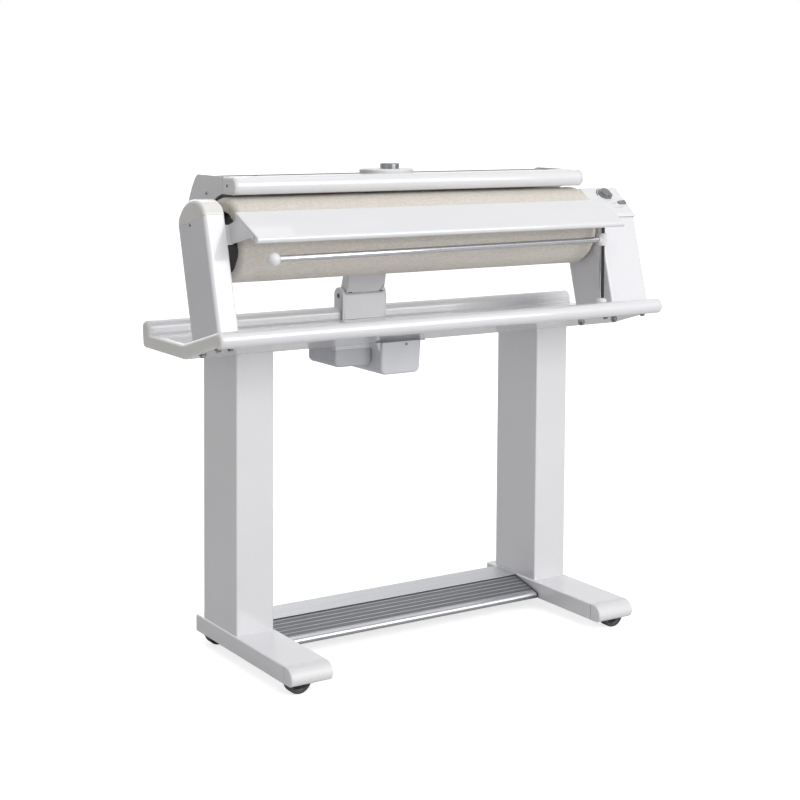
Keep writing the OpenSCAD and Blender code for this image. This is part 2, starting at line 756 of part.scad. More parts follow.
module rocker_switch() {
    r = rocker_len / 2;
    color("dimgray") on_panel(rocker_in, rocker_down) intersection() {
        rotate([90, 0, 0]) linear_extrude(rocker_w, center = true) intersection() {
            circle(r);
            polygon([[-r, -rocker_w / 2], [r, -rocker_w / 2],
                [r, rocker_rise + r * tan(rocker_tilt) * 2], [0, rocker_rise], [-r, rocker_rise]]);
        }
        translate([0, 0, -rocker_len]) linear_extrude(2 * rocker_len)
            polygon([[-r, 0], [-r * 0.6, -rocker_w / 2], [r, -rocker_w / 2], [r, rocker_w / 2],
                [-r * 0.6, rocker_w / 2]]);
    }
}
thermostat_d = temp_knob_d * 0.9;
module thermostat() {
    color("dimgray") on_panel(temp_knob_in, temp_knob_down)
        translate([0, 0, -housing_wall / cos(panel_slope) - housing_wall * 4]) difference() {
            cylinder(h = housing_wall * 4, d = thermostat_d);
            cylinder(h = housing_wall * 5, r = knob_seat_r + fit);
        }
}

// Roller
bearing_r = shaft_d / 2 + shaft_d * 0.35;
bearing_w = shaft_d * 0.6;
module bearing(x0) {
    translate([x0, roller_y, roller_z]) rotate([0, 90, 0]) difference() {
        cylinder(h = bearing_w, r = bearing_r);
        translate([0, 0, -over]) cylinder(h = bearing_w + 2 * over, r = shaft_d / 2 + fit);
    }
}
module roller_bearings() {
    color("silver") {
        bearing(left_x1 - bearing_w);
        bearing(right_x0);
    }
}
pad_end = 2;
module roller_core() {
    len = roller_len - 2 * pad_end;
    disc_t2 = core_wall * 2;
    color("dimgray") translate([roller_x0 + pad_end, roller_y, roller_z]) rotate([0, 90, 0]) {
        difference() {
            cylinder(h = len, r = core_r);
            translate([0, 0, -over]) cylinder(h = len + 2 * over, r = core_r - core_wall);
        }
        for (z = [end_recess, len - end_recess - disc_t2]) translate([0, 0, z]) difference() {
            cylinder(h = disc_t2, r = core_r - core_wall / 2);
            translate([0, 0, -over]) cylinder(h = disc_t2 + 2 * over, r = shaft_d / 2);
        }
    }
}
lap_share = 0.78;
module roller_padding() {
    lap_r = roller_r * lap_share;
    color("wheat") translate([roller_x0, roller_y, roller_z]) rotate([0, 90, 0])
        rotate_extrude($fn = 128) {
            polygon([[lap_r, 0], [roller_r - pad_edge_r, 0], [roller_r, pad_edge_r],
                [roller_r, roller_len - pad_edge_r], [roller_r - pad_edge_r, roller_len],
                [lap_r, roller_len], [lap_r, roller_len - pad_end], [core_r, roller_len - pad_end],
                [core_r, pad_end], [lap_r, pad_end]]);
            for (end = [0, 1]) translate([roller_r - pad_edge_r, end * roller_len])
                mirror([0, end]) intersection() {
                    translate([0, pad_edge_r]) circle(pad_edge_r, $fn = 48);
                    square(pad_edge_r);
                }
        }
}
shaft_x0 = left_x1 - left_w * 0.6;
gear_x0 = right_x0 + bearing_w + shaft_d / 4;
shaft_x1 = gear_x0 + gear_w + shaft_d / 4;
module roller_shaft() {
    color("silver") bar_x(shaft_x0, shaft_x1 - shaft_x0, roller_y, roller_z, shaft_d / 2);
}
motor_lean = 22;
gear_turn = -90 - motor_lean;
gear_distance = roller_module * (roller_teeth + motor_teeth) / 2;
motor_y = roller_y + gear_distance * cos(gear_turn);
motor_z = roller_z + gear_distance * sin(gear_turn);
module roller_gear() {
    color("ivory") difference() {
        span_x(gear_x0, gear_w) translate([roller_y, roller_z])
            rotate(gear_turn + 180 / roller_teeth)
                gear_outline(roller_teeth, roller_module, roller_teeth);
        bar_x(gear_x0 - over, gear_w + 2 * over, roller_y, roller_z, shaft_d / 2);
    }
}
motor_shaft_d = roller_module * 6;
motor_x0 = gear_x0 + gear_w + gap * 2;
module motor_pinion() {
    color("silver") {
        span_x(gear_x0, gear_w) translate([motor_y, motor_z])
            rotate(gear_turn + 180 + (motor_teeth % 2 == 0 ? 0 : 180 / motor_teeth))
                gear_outline(motor_teeth, roller_module, motor_teeth);
        bar_x(gear_x0 - shaft_d / 4, gear_w + shaft_d / 2 + motor_len / 2, motor_y, motor_z,
            motor_shaft_d / 2);
    }
}
module gear_motor() {
    color("dimgray") difference() {
        bar_x(motor_x0, min(motor_len, right_x1 - housing_wall - motor_x0), motor_y, motor_z,
            motor_d / 2);
        bar_x(motor_x0 - over, motor_len * 0.6, motor_y, motor_z, motor_shaft_d / 2 + fit);
    }
}

// Heater shoe
shoe_x0 = roller_x0 + shoe_inset;
shoe_x1 = roller_x1 - shoe_inset * 2.4;
shoe_r = roller_r + shoe_gap;
front_y = roller_y + shoe_front;
shoe_front_angle = acos(shoe_front / (shoe_r + shoe_t));
top_z = roller_z + cover_top;
// A wedge about the roller's axis from the shoe's lower edge to its front edge
module shoe_wedge() {
    far = cover_r * 2;
    near = shoe_r / 2;
    low = about_roller(-shoe_low_angle, far);
    polygon([about_roller(-shoe_low_angle, near), low, low + [0, far],
        [front_y, roller_z + far], [front_y, roller_z + near]]);
}
module heater_shoe() {
    color("silver") span_x(shoe_x0 + plate_t, shoe_x1 - shoe_x0 - 2 * plate_t) intersection() {
        difference() {
            translate([roller_y, roller_z]) circle(shoe_r + shoe_t, $fn = 128);
            translate([roller_y, roller_z]) circle(shoe_r, $fn = 128);
        }
        shoe_wedge();
    }
}
module cover_outline(inset) {
    r = cover_r - inset;
    t = top_z - inset;
    e = cover_edge_r - inset;
    edge_z = t - e;
    // The round edge stands out by a hair, so that its arc crosses the round back
    edge_y = roller_y + sqrt(pow(r - e + e * edge_proud_share, 2) - pow(edge_z - roller_z, 2));
    turn = atan2(edge_z - roller_z, edge_y - roller_y);
    intersection() {
        shoe_wedge();
        union() {
            intersection() {
                translate([roller_y, roller_z]) circle(r, $fn = 160);
                polygon([[roller_y, roller_z], about_roller(-shoe_low_angle * 2, 2 * r),
                    about_roller(turn, 2 * r)]);
            }
            translate([edge_y, edge_z]) circle(e);
            polygon([[roller_y, roller_z], about_roller(turn - shoe_low_angle, r - e),
                [edge_y, edge_z], [edge_y, t], [roller_y, t]]);
        }
    }
}
edge_proud_share = 0.008;
module shoe_void() { translate([roller_y, roller_z]) circle(shoe_r + shoe_t, $fn = 128); }
module shoe_cover() {
    color("whitesmoke") {
        span_x(shoe_x0 + plate_t, shoe_x1 - shoe_x0 - 2 * plate_t) difference() {
            cover_outline(plate_rise);
            shoe_void();
            intersection() {
                cover_outline(plate_rise + cover_t);
                translate([front_y + cover_t, roller_z - cover_r]) square(2 * cover_r);
                rotate_about_roller(cover_lift) shoe_wedge_up();
            }
        }
        for (x = lug_xs) span_x(x - lug_w / 2, lug_w) difference() {
            union() {
                translate([guard_hinge_y, guard_hinge_z]) circle(lug_r);
                translate([guard_hinge_y, guard_hinge_z - lug_r])
                    square([front_y + cover_t / 2 - guard_hinge_y, 2 * lug_r]);
            }
            translate([guard_hinge_y, guard_hinge_z]) circle(guard_pin_d / 2);
        }
    }
}
cover_lift = cover_t / cover_r * 90;
module rotate_about_roller(a) {
    translate([roller_y, roller_z]) rotate(a) translate([-roller_y, -roller_z]) children();
}
module shoe_wedge_up() {
    far = cover_r * 2;
    low = about_roller(-shoe_low_angle, far);
    polygon([[roller_y, roller_z], low, low + [0, far], [roller_y - far, roller_z + far],
        [roller_y - far, roller_z]]);
}
module shoe_plates() {
    head_r = plate_t;
    head_z = top_z - cover_r * 0.2;
    color("lightgray") {
        for (x = [shoe_x0, shoe_x1 - plate_t]) span_x(x, plate_t) difference() {
            cover_outline(0);
            translate([roller_y, roller_z]) circle(shoe_r, $fn = 128);
        }
        for (x = [shoe_x0 - plate_t / 4, shoe_x1 - plate_t / 4])
            bar_x(x, plate_t / 2, disc_y, head_z, head_r);
    }
}
module heating_elements() {
    len = shoe_x1 - shoe_x0 - 2 * plate_t;
    first = shoe_low_angle;
    step = (90 - 2 * shoe_low_angle) / (elements - 1);
    color("dimgray") for (i = [0 : elements - 1]) {
        p = about_roller(first + i * step, shoe_r + shoe_t + element_d / 2);
        bar_x(shoe_x0 + plate_t, len, p.x, p.y, element_d / 2);
    }
}
disc_share = 0.366;
disc_y = roller_y + cover_r * disc_share;
disc_z = top_z - plate_rise;
module top_disc() {
    color("white") translate([arm_x, disc_y, disc_z]) linear_extrude(disc_t)
        round_rect(disc_len, disc_depth, disc_depth / 2 - corner_r / 3);
}
knob_y = disc_y - disc_depth * 0.14;
module pressure_knob() {
    r = press_knob_d / 2;
    color("silver") translate([arm_x, knob_y, disc_z + disc_t]) rotate_extrude()
        polygon([[0, 0], [r, 0], [r, press_knob_h - r / 12], [r - r / 12, press_knob_h],
            [r * 0.8, press_knob_h], [r * 0.78, press_knob_h - r / 16], [0, press_knob_h - r / 16]]);
}

// Finger guard
guard_back_y = front_y - gap * 2;
guard_front_y = guard_back_y - guard_d;
guard_x0 = shoe_x0 - plate_t / 2;
guard_x1 = shoe_x1 + plate_t / 2;
guard_hinge_y = guard_back_y - guard_pin_d;
guard_hinge_z = top_z - guard_pin_d - guard_wall / 2;
lug_r = guard_pin_d;
lug_w = guard_pin_d * 3;
lug_span = (shoe_x1 - shoe_x0) * 0.42;
lug_mid = (shoe_x0 + shoe_x1) / 2;
lug_xs = [lug_mid - lug_span, lug_mid, lug_mid + lug_span];
module guard_outline(inset) {
    r = guard_h / 2 - inset;
    z = top_z - guard_h / 2;
    translate([guard_front_y + guard_h / 2, z]) circle(r);
    translate([guard_front_y + guard_h / 2, z - r])
        square([guard_d - guard_h / 2 - inset, 2 * r]);
}
module finger_guard() {
    slot_w = lug_w + 2 * gap;
    slot_r = lug_r + 2 * gap;
    boss_r = guard_pin_d;
    color("white") difference() {
        span_x(guard_x0 + guard_cap_t, guard_x1 - guard_x0 - 2 * guard_cap_t) {
            difference() {
                guard_outline(0);
                guard_outline(guard_wall);
            }
            intersection() {
                guard_outline(0);
                translate([guard_hinge_y, guard_hinge_z]) square(2 * boss_r + 2 * guard_wall,
                    center = true);
            }
        }
        bar_x(guard_x0, guard_x1 - guard_x0, guard_hinge_y, guard_hinge_z, guard_pin_d / 2 + fit);
        for (x = lug_xs) translate([x - slot_w / 2, guard_hinge_y - slot_r, top_z - guard_h / 2])
            cube([slot_w, guard_d, guard_h]);
    }
}
module guard_caps() {
    color("whitesmoke") for (x = [guard_x0, guard_x1 - guard_cap_t])
        span_x(x, guard_cap_t) guard_outline(0);
}
module guard_pin() {
    len = guard_x1 - guard_x0 - 2 * guard_cap_t;
    color("silver") bar_x(guard_x0 + guard_cap_t, len, guard_hinge_y, guard_hinge_z,
        guard_pin_d / 2);
}

// Shoe arm, bracket and drive
pivot_y = fold_y + pivot_back;
pivot_z = bed_top + pivot_rise;
arm_barrel_r = pivot_d / 2 + pivot_d * 0.65;
arm_reach_share = 0.69;
sector_r = sector_module * sector_teeth / 2;
lift_r = sector_module * lift_teeth / 2;
// The pinion meshes two teeth in front of straight down, the sector is centred one tooth further back
sector_pitch = 360 / sector_teeth;
mesh_turn = -90 - 2 * sector_pitch;
lift_y = pivot_y + (sector_r + lift_r) * cos(mesh_turn);
lift_z = pivot_z + (sector_r + lift_r) * sin(mesh_turn);
sector_inner_share = 0.9;
arm_edge = cover_r * arm_reach_share;
arm_low_front = [pivot_y - arm_t * 1.1, pivot_z + arm_t * 0.38];
arm_slab_back = [pivot_y - arm_t * 0.1, pivot_z + arm_t * 0.62];
module arm_outline() {
    top_front = about_roller(-shoe_low_angle, arm_edge);
    top_back = about_roller(-shoe_low_angle, arm_edge + arm_t);
    polygon([top_front, top_back, arm_slab_back + [arm_t * 0.25, arm_t * 0.5],
        [pivot_y + arm_barrel_r * 0.7, pivot_z + arm_barrel_r * 0.7],
        [pivot_y - arm_barrel_r * 0.7, pivot_z + arm_barrel_r * 0.7], arm_low_front]);
    translate([pivot_y, pivot_z]) circle(arm_barrel_r);
}
module shoe_arm() {
    color("white") difference() {
        union() {
            span_x(arm_x - arm_w / 2, arm_w) arm_outline();
            span_x(arm_x - sector_t / 2, sector_t) {
                translate([pivot_y, pivot_z]) rotate(mesh_turn + sector_pitch) intersection() {
                    difference() {
                        gear_outline(sector_teeth, sector_module, sector_cut);
                        circle(sector_r * sector_inner_share, $fn = 128);
                    }
                    polygon([[0, 0], [2 * sector_r, -sector_half], [2 * sector_r, sector_half]]);
                }
                translate([pivot_y - lever_w / 2, pivot_z - sector_r * lever_share])
                    square([lever_w, sector_r * lever_share]);
            }
        }
        bar_x(arm_x - arm_w, 2 * arm_w, pivot_y, pivot_z, pivot_d / 2 + fit);
    }
}
lever_share = 0.93;
sector_half = 2 * sector_r * tan(sector_cut * 180 / sector_teeth);
bracket_inner = arm_w + 2;
bracket_front_t = bracket_d / 18;
module bracket_outline() {
    translate([pivot_y, pivot_z]) circle(bracket_d / 2);
    polygon([[pivot_y - bracket_d / 2, bed_top], [rear_nose_y, bed_top],
        [pivot_y + bracket_d / 2, rear_nose_z], [pivot_y + bracket_d / 2, pivot_z],
        [pivot_y - bracket_d / 2, pivot_z]]);
}
module arm_bracket() {
    pocket_r = arm_barrel_r + gap * 2;
    color("whitesmoke") difference() {
        span_x(arm_x - bracket_w / 2, bracket_w) difference() {
            bracket_outline();
            tray_outline();
        }
        span_x(arm_x - bracket_inner / 2, bracket_inner) {
            translate([pivot_y, pivot_z]) circle(pocket_r);
            translate([pivot_y - pocket_r, pivot_z]) square([4 * pocket_r, 2 * pocket_r]);
            translate([pivot_y - bracket_d, pivot_z + arm_t * 0.3])
                square([2 * bracket_d, bracket_d]);
        }
        translate([arm_x - sector_t / 2 - slot_side, pivot_y - bracket_d / 2 + bracket_front_t,
            bed_h - over]) cube([sector_t + 2 * slot_side, bracket_d * 0.9, pivot_z - bed_h]);
        bar_x(arm_x - bracket_w, 2 * bracket_w, pivot_y, pivot_z, pivot_d / 2);
    }
}
module arm_pin() {
    color("dimgray") bar_x(arm_x - bracket_w / 2 + gap, bracket_w - 2 * gap, pivot_y, pivot_z,
        pivot_d / 2);
}
lobe_front_y = fold_low_y - 5;
lobe_back_y = pivot_y + 21;
left_lobe_front_y = lobe_front_y + 35;
left_lobe_back_y = left_lobe_front_y + left_lobe_d;
lobe_collar_h = left_lobe_h / 4;
flange_w = 12;
module lobe_block(x0, x1, y0, y1, h, inset) {
    r = corner_r * 4;
    top = bed_h - (inset > 0 ? -over : 0);
    translate([0, y1 - inset, 0]) rotate([90, 0, 0]) linear_extrude(y1 - y0 - 2 * inset) {
        translate([x0 + inset, bed_h - h + r]) square([x1 - x0 - 2 * inset, top - bed_h + h - r]);
        translate([x0 + r, bed_h - h + inset]) square([x1 - x0 - 2 * r, r]);
        for (x = [x0 + r, x1 - r]) translate([x, bed_h - h + r]) circle(r - inset);
    }
}
module drive_housing() {
    color("lightgray") difference() {
        union() {
            lobe_block(lobe_x0, lobe_x1 + lobe_wall * 6, left_lobe_front_y, left_lobe_back_y,
                left_lobe_h, 0);
            translate([lobe_x0 - lobe_wall, left_lobe_front_y - 3 * lobe_wall, bed_h - lobe_collar_h])
                cube([lobe_x1 - lobe_x0 + 2 * lobe_wall, 5 * lobe_wall, lobe_collar_h]);
            lobe_block(lobe_x1, lobe_x2, lobe_front_y, lobe_back_y, right_lobe_h, 0);
            translate([lobe_x1, lobe_front_y, bed_h - lobe_wall])
                cube([lobe_x2 - lobe_x1 + flange_w, lobe_back_y - lobe_front_y, lobe_wall]);
        }
        lobe_block(lobe_x0, lobe_x1, left_lobe_front_y, left_lobe_back_y, left_lobe_h, lobe_wall);
        lobe_block(lobe_x1, lobe_x2, lobe_front_y, lobe_back_y, right_lobe_h, lobe_wall);
        translate([(lobe_x0 + lobe_x1) / 2, left_lobe_back_y - lobe_wall / 2, gland_z])
            rotate([90, 0, 0]) cylinder(h = lobe_wall * 3, d = gland_d, center = true);
    }
}
lift_shaft_d = lift_r;
lift_motor_x0 = arm_x + sector_t / 2 + gap * 2;
lift_motor_x1 = lobe_x2 - lobe_wall;
module lift_pinion() {
    color("silver") {
        span_x(arm_x - sector_t / 2, sector_t) translate([lift_y, lift_z])
            rotate(mesh_turn + 180) gear_outline(lift_teeth, sector_module, lift_teeth);
        bar_x(arm_x - sector_t, sector_t * 2 + (lift_motor_x1 - lift_motor_x0) / 2, lift_y, lift_z,
            lift_shaft_d / 2);
    }
}
lift_motor_r = (bed_h - lift_z) * 0.66;
module lift_motor() {
    color("dimgray") difference() {
        bar_x(lift_motor_x0, lift_motor_x1 - lift_motor_x0, lift_y, lift_z,
            lift_motor_r);
        bar_x(lift_motor_x0 - over, sector_t + (lift_motor_x1 - lift_motor_x0) / 2, lift_y, lift_z,
            lift_shaft_d / 2 + fit);
    }
}
module control_unit() {
    m = lobe_wall * 4;
    unit_h = left_lobe_h * 0.55;
    color("darkgreen") translate([lobe_x0 + m, left_lobe_front_y + m, bed_h - unit_h])
        cube([lobe_x1 - lobe_x0 - 2 * m, left_lobe_back_y - left_lobe_front_y - 2 * m, unit_h]);
}
gland_d = 14;
gland_z = bed_h - left_lobe_h * 0.4;
module inlet_gland() {
    color("dimgray") translate([(lobe_x0 + lobe_x1) / 2, left_lobe_back_y + gland_d, gland_z])
        rotate([90, 0, 0]) difference() {
            union() {
                cylinder(h = gland_d + lobe_wall, d = gland_d);
                translate([0, 0, gland_d / 2]) cylinder(h = gland_d / 2, d = gland_d * 1.4);
            }
            translate([0, 0, -over]) cylinder(h = gland_d * 2, d = gland_d / 2);
        }
}

// Feed board and linen rail
board_back = [roller_y - board_front, roller_z + board_rise];
board_dir = [-cos(board_angle), -sin(board_angle)];
board_up = [-sin(board_angle), cos(board_angle)];
board_x0 = roller_x0 - board_over * 5 - plate_t;
board_x1 = roller_x1 + board_over;
function on_board(run, rise) = board_back + run * board_dir + rise * board_up;
module feed_board() {
    color("white") span_x(board_x0, board_x1 - board_x0) {
        polygon([on_board(0, 0), on_board(board_run, 0), on_board(board_run, -board_t),
            on_board(0, -board_t)]);
        difference() {
            translate(on_board(board_run, -board_nose_r)) circle(board_nose_r);
            translate(on_board(board_run, -board_nose_r)) circle(board_nose_r - board_t * 0.7);
        }
    }
}
ear_t = 2;
// Outline of a bracket, as shares of the board's depth along and below the board
ear_shares = [[0.104, -0.126], [-0.147, -0.367], [0.134, -0.654], [0.78, -0.142], [0.9, -0.142]];
function ear_point(i) = on_board(board_run * ear_shares[i].x, board_run * ear_shares[i].y);
module bracket_plate(x0) {
    span_x(x0, ear_t) difference() {
        polygon([on_board(0, -board_t), ear_point(0), ear_point(1), ear_point(2), ear_point(3),
            ear_point(4), on_board(board_run * 0.9, -board_t)]);
        translate(on_board(board_run, -board_nose_r)) circle(board_nose_r);
    }
}
module bracket_flange(x0, x1) {
    span_x(x0, x1 - x0) polygon([ear_point(1), ear_point(2), ear_point(2) + ear_t * board_dir,
        ear_point(1) + ear_t * board_dir]);
}
module board_brackets() {
    color("gainsboro") {
        bracket_plate(board_x0);
        bracket_flange(left_x1, board_x0 + ear_t);
        bracket_plate(board_x1 - ear_t);
        bracket_flange(board_x1 - ear_t, right_x0);
    }
}
post_x = right_x0 - post_gap;
post_y = -post_front;
rail_z = bed_top + rail_rise;
function wing_top(y) = bed_top + (fold_y - y) * tan(wing_angle);
function board_under(y) =
    board_back.y - (board_back.x - y) * tan(board_angle) - board_t / cos(board_angle);
module rail_frame() {
    translate([post_x, post_y, rail_z]) rotate([0, 0, rail_open]) children();
}
module linen_rail() {
    color("silver") rail_frame() translate([-clamp_d / 2 - gap / 2, 0, 0]) rotate([0, -90, 0])
        cylinder(h = rail_len - clamp_d / 2 - ball_d * 0.45, d = rail_d);
}
module rail_ball() {
    r = ball_d / 2;
    seat = ball_d * 0.45 - gap / 2;
    color("white") rail_frame() translate([-rail_len, 0, 0]) rotate([0, 90, 0])
        rotate_extrude() difference() {
            intersection() {
                circle(r);
                translate([0, -r * 0.985]) square(2 * r);
            }
            translate([-over, seat]) square([rail_d / 2 + fit + over, ball_d]);
        }
}
module rail_clamp() {
    color("white") rail_frame() difference() {
        union() {
            cylinder(h = clamp_h, d = clamp_d, center = true);
            rotate([0, -90, 0]) cylinder(h = clamp_d / 2 + gap / 2, d = rail_d * 1.3);
        }
        cylinder(h = clamp_h + 2 * over, d = post_d + 2 * fit, center = true);
    }
}
collar_h = 6;
module rail_post() {
    z0 = wing_top(post_y);
    z1 = board_under(post_y - post_d / 2) - gap;
    color("silver") difference() {
        union() {
            translate([post_x, post_y, z0 - clamp_d]) cylinder(h = z1 - z0 + clamp_d, d = post_d);
            translate([post_x, post_y, z0 - clamp_d])
                cylinder(h = clamp_d + collar_h, d = clamp_d * 1.05);
            translate([post_x, post_y, rail_z - clamp_h / 2 - collar_h])
                cylinder(h = collar_h - gap / 2, d = post_d * 1.3);
        }
        span_x(post_x - clamp_d, 2 * clamp_d)
            polygon([on_wing(0, 0), on_wing(wing_run * 1.5, 0),
                on_wing(wing_run * 1.5, -tray_t * 3), on_wing(0, -tray_t * 3)]);
    }
}

// Fasteners
bolt_d = 12;
bolt_h = 5;
// Places of the bolts, as shares of the tray's half length and of the wing's underside
bolt_shares = [[-0.963, 0.3], [-0.963, 0.745], [-0.918, 0.76], [0.754, 0.29], [0.766, 0.785],
    [0.811, 0.78], [0.918, 0.33], [0.965, 0.77]];
// Places children at the bolts under the wing, with +Z into the sheet
module at_tray_bolts() {
    low = [fold_low_y, bed_h];
    tip = on_wing(wing_run, -wing_end_t);
    for (share = bolt_shares)
        translate([tray_end * share.x, low.x + (tip.x - low.x) * share.y,
            low.y + (tip.y - low.y) * share.y])
            rotate([-atan2(tip.y - low.y, low.x - tip.x), 0, 0]) children();
}
module tray_bolts() {
    color("dimgray") at_tray_bolts() bolt(bolt_d, bolt_h, bolt_d / 2, tray_wall);
}
screw_d = 6;
screw_h = 0.8;
module housing_screws() {
    p = on_wing(housing_mid - left_depth * 0.04, left_seam - screw_d * 1.15);
    color("dimgray") {
        bar_x(left_x0 - screw_h, screw_h, p.x, p.y, screw_d / 2);
        translate([lobe_x2 - flange_w * 3, lobe_front_y, bed_h - screw_d]) rotate([90, 0, 0])
            cylinder(h = screw_h, d = screw_d);
    }
}
module guard_screws() {
    color("dimgray") for (x = [guard_x0 - screw_h, guard_x1])
        bar_x(x, screw_h, guard_front_y + guard_d * 0.62, top_z - guard_h / 2, screw_d / 2);
}

tray_profile();
tray_cap_left();
tray_cap_right();
column_left();
column_right();
foot_left();
foot_right();
foot_front_caps();
foot_rear_caps();
wheel_blocks();
wheel_axles();
wheel_front_left();
wheel_front_right();
wheel_rear_left();
wheel_rear_right();
cross_beam();
pedal();
pedal_pin();
pedal_buffers();
pedal_switch();
left_housing();
left_housing_cap();
right_housing();
control_panel();
temperature_knob();
rocker_switch();
thermostat();
roller_bearings();
roller_core();
roller_padding();
roller_shaft();
roller_gear();
gear_motor();
motor_pinion();
heater_shoe();
shoe_cover();
shoe_plates();
heating_elements();
top_disc();
pressure_knob();
finger_guard();
guard_caps();
guard_pin();
shoe_arm();
arm_bracket();
arm_pin();
lift_motor();
lift_pinion();
drive_housing();
control_unit();
inlet_gland();
feed_board();
board_brackets();
linen_rail();
rail_ball();
rail_clamp();
rail_post();
tray_bolts();
housing_screws();
guard_screws();
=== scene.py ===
"""Dresses the flatwork ironer: meshes, finishes, studio and camera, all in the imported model's frame."""
import logging
import math
from dataclasses import dataclass, field
from enum import Enum

import bmesh
import bpy
from mathutils import Matrix, Vector, noise


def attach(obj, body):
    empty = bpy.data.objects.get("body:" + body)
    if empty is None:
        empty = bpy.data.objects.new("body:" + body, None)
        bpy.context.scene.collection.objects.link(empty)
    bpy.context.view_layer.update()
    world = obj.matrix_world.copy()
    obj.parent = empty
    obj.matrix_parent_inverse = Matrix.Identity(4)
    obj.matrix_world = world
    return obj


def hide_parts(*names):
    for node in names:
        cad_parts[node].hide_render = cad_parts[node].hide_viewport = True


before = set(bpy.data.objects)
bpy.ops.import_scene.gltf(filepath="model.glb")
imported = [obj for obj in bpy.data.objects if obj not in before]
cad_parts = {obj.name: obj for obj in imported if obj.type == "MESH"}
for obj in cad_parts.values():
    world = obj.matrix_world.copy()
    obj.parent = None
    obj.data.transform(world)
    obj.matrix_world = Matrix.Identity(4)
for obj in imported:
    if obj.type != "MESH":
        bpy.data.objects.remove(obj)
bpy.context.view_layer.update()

LOG = logging.getLogger("ironer")
# Metres in a millimetre: sizes are given in millimetres and meshes are built in metres
MM = 0.001
# Radius in millimetres of an edge where two pieces meet, so that only a hairline shows
SEAM = 0.25
# Steps of every rounded edge
EDGE_STEPS = 4
# Edges of an outline that turn by more than this many degrees are corners and are rounded
CORNER_DEG = 24.0
# Edges sharper than this many degrees break the smooth shading
SHARP_DEG = 32.0
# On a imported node: faces that turn by less are one flat face, and edges that turn by more are rounded
NODE_FLAT_DEG = 0.6
NODE_EDGE_DEG = 35.0
NODE_EDGE_STEPS = 2
Point = tuple[float, float]
Point3 = tuple[float, float, float]


class Axis(Enum):
    """The axis that an outline is pushed along."""

    X = 0
    Y = 1
    Z = 2


class Body(Enum):
    """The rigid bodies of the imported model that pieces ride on."""

    FRAME = "frame"
    ROLLER = "roller"
    SHOE = "shoe"
    GUARD = "guard"
    PRESSURE_KNOB = "pressure_knob_body"
    TEMPERATURE_KNOB = "temperature_knob_body"
    RAIL = "rail"
    PEDAL = "pedal_body"
    ROLL_FRONT_LEFT = "roll_front_left"
    ROLL_FRONT_RIGHT = "roll_front_right"
    ROLL_REAR_LEFT = "roll_rear_left"
    ROLL_REAR_RIGHT = "roll_rear_right"


# colour and nodes


def linear(hex_colour: str) -> tuple[float, float, float, float]:
    """Turns an sRGB hex colour into linear RGBA.

    Args:
        hex_colour: Six hex digits with a leading #.

    Returns:
        Linear red, green and blue with alpha 1.
    """
    parts = [int(hex_colour[i:i + 2], 16) / 255 for i in (1, 3, 5)]
    return (*[p / 12.92 if p <= 0.04045 else ((p + 0.055) / 1.055) ** 2.4 for p in parts], 1.0)


def add_node(tree: bpy.types.NodeTree, kind: str, inputs: dict | None = None,
             **settings: object) -> bpy.types.Node:
    """Adds one shader node with its settings, input values and links.

    Args:
        tree: The tree that gets the node.
        kind: The node's type name.
        inputs: Input name or index to a value, or to the output socket that feeds it.
        settings: Properties of the node itself.

    Returns:
        The new node.
    """
    made = tree.nodes.new(kind)
    for name, value in settings.items():
        setattr(made, name, value)
    for name, value in (inputs or {}).items():
        if isinstance(value, bpy.types.NodeSocket):
            tree.links.new(value, made.inputs[name])
        else:
            made.inputs[name].default_value = value
    return made


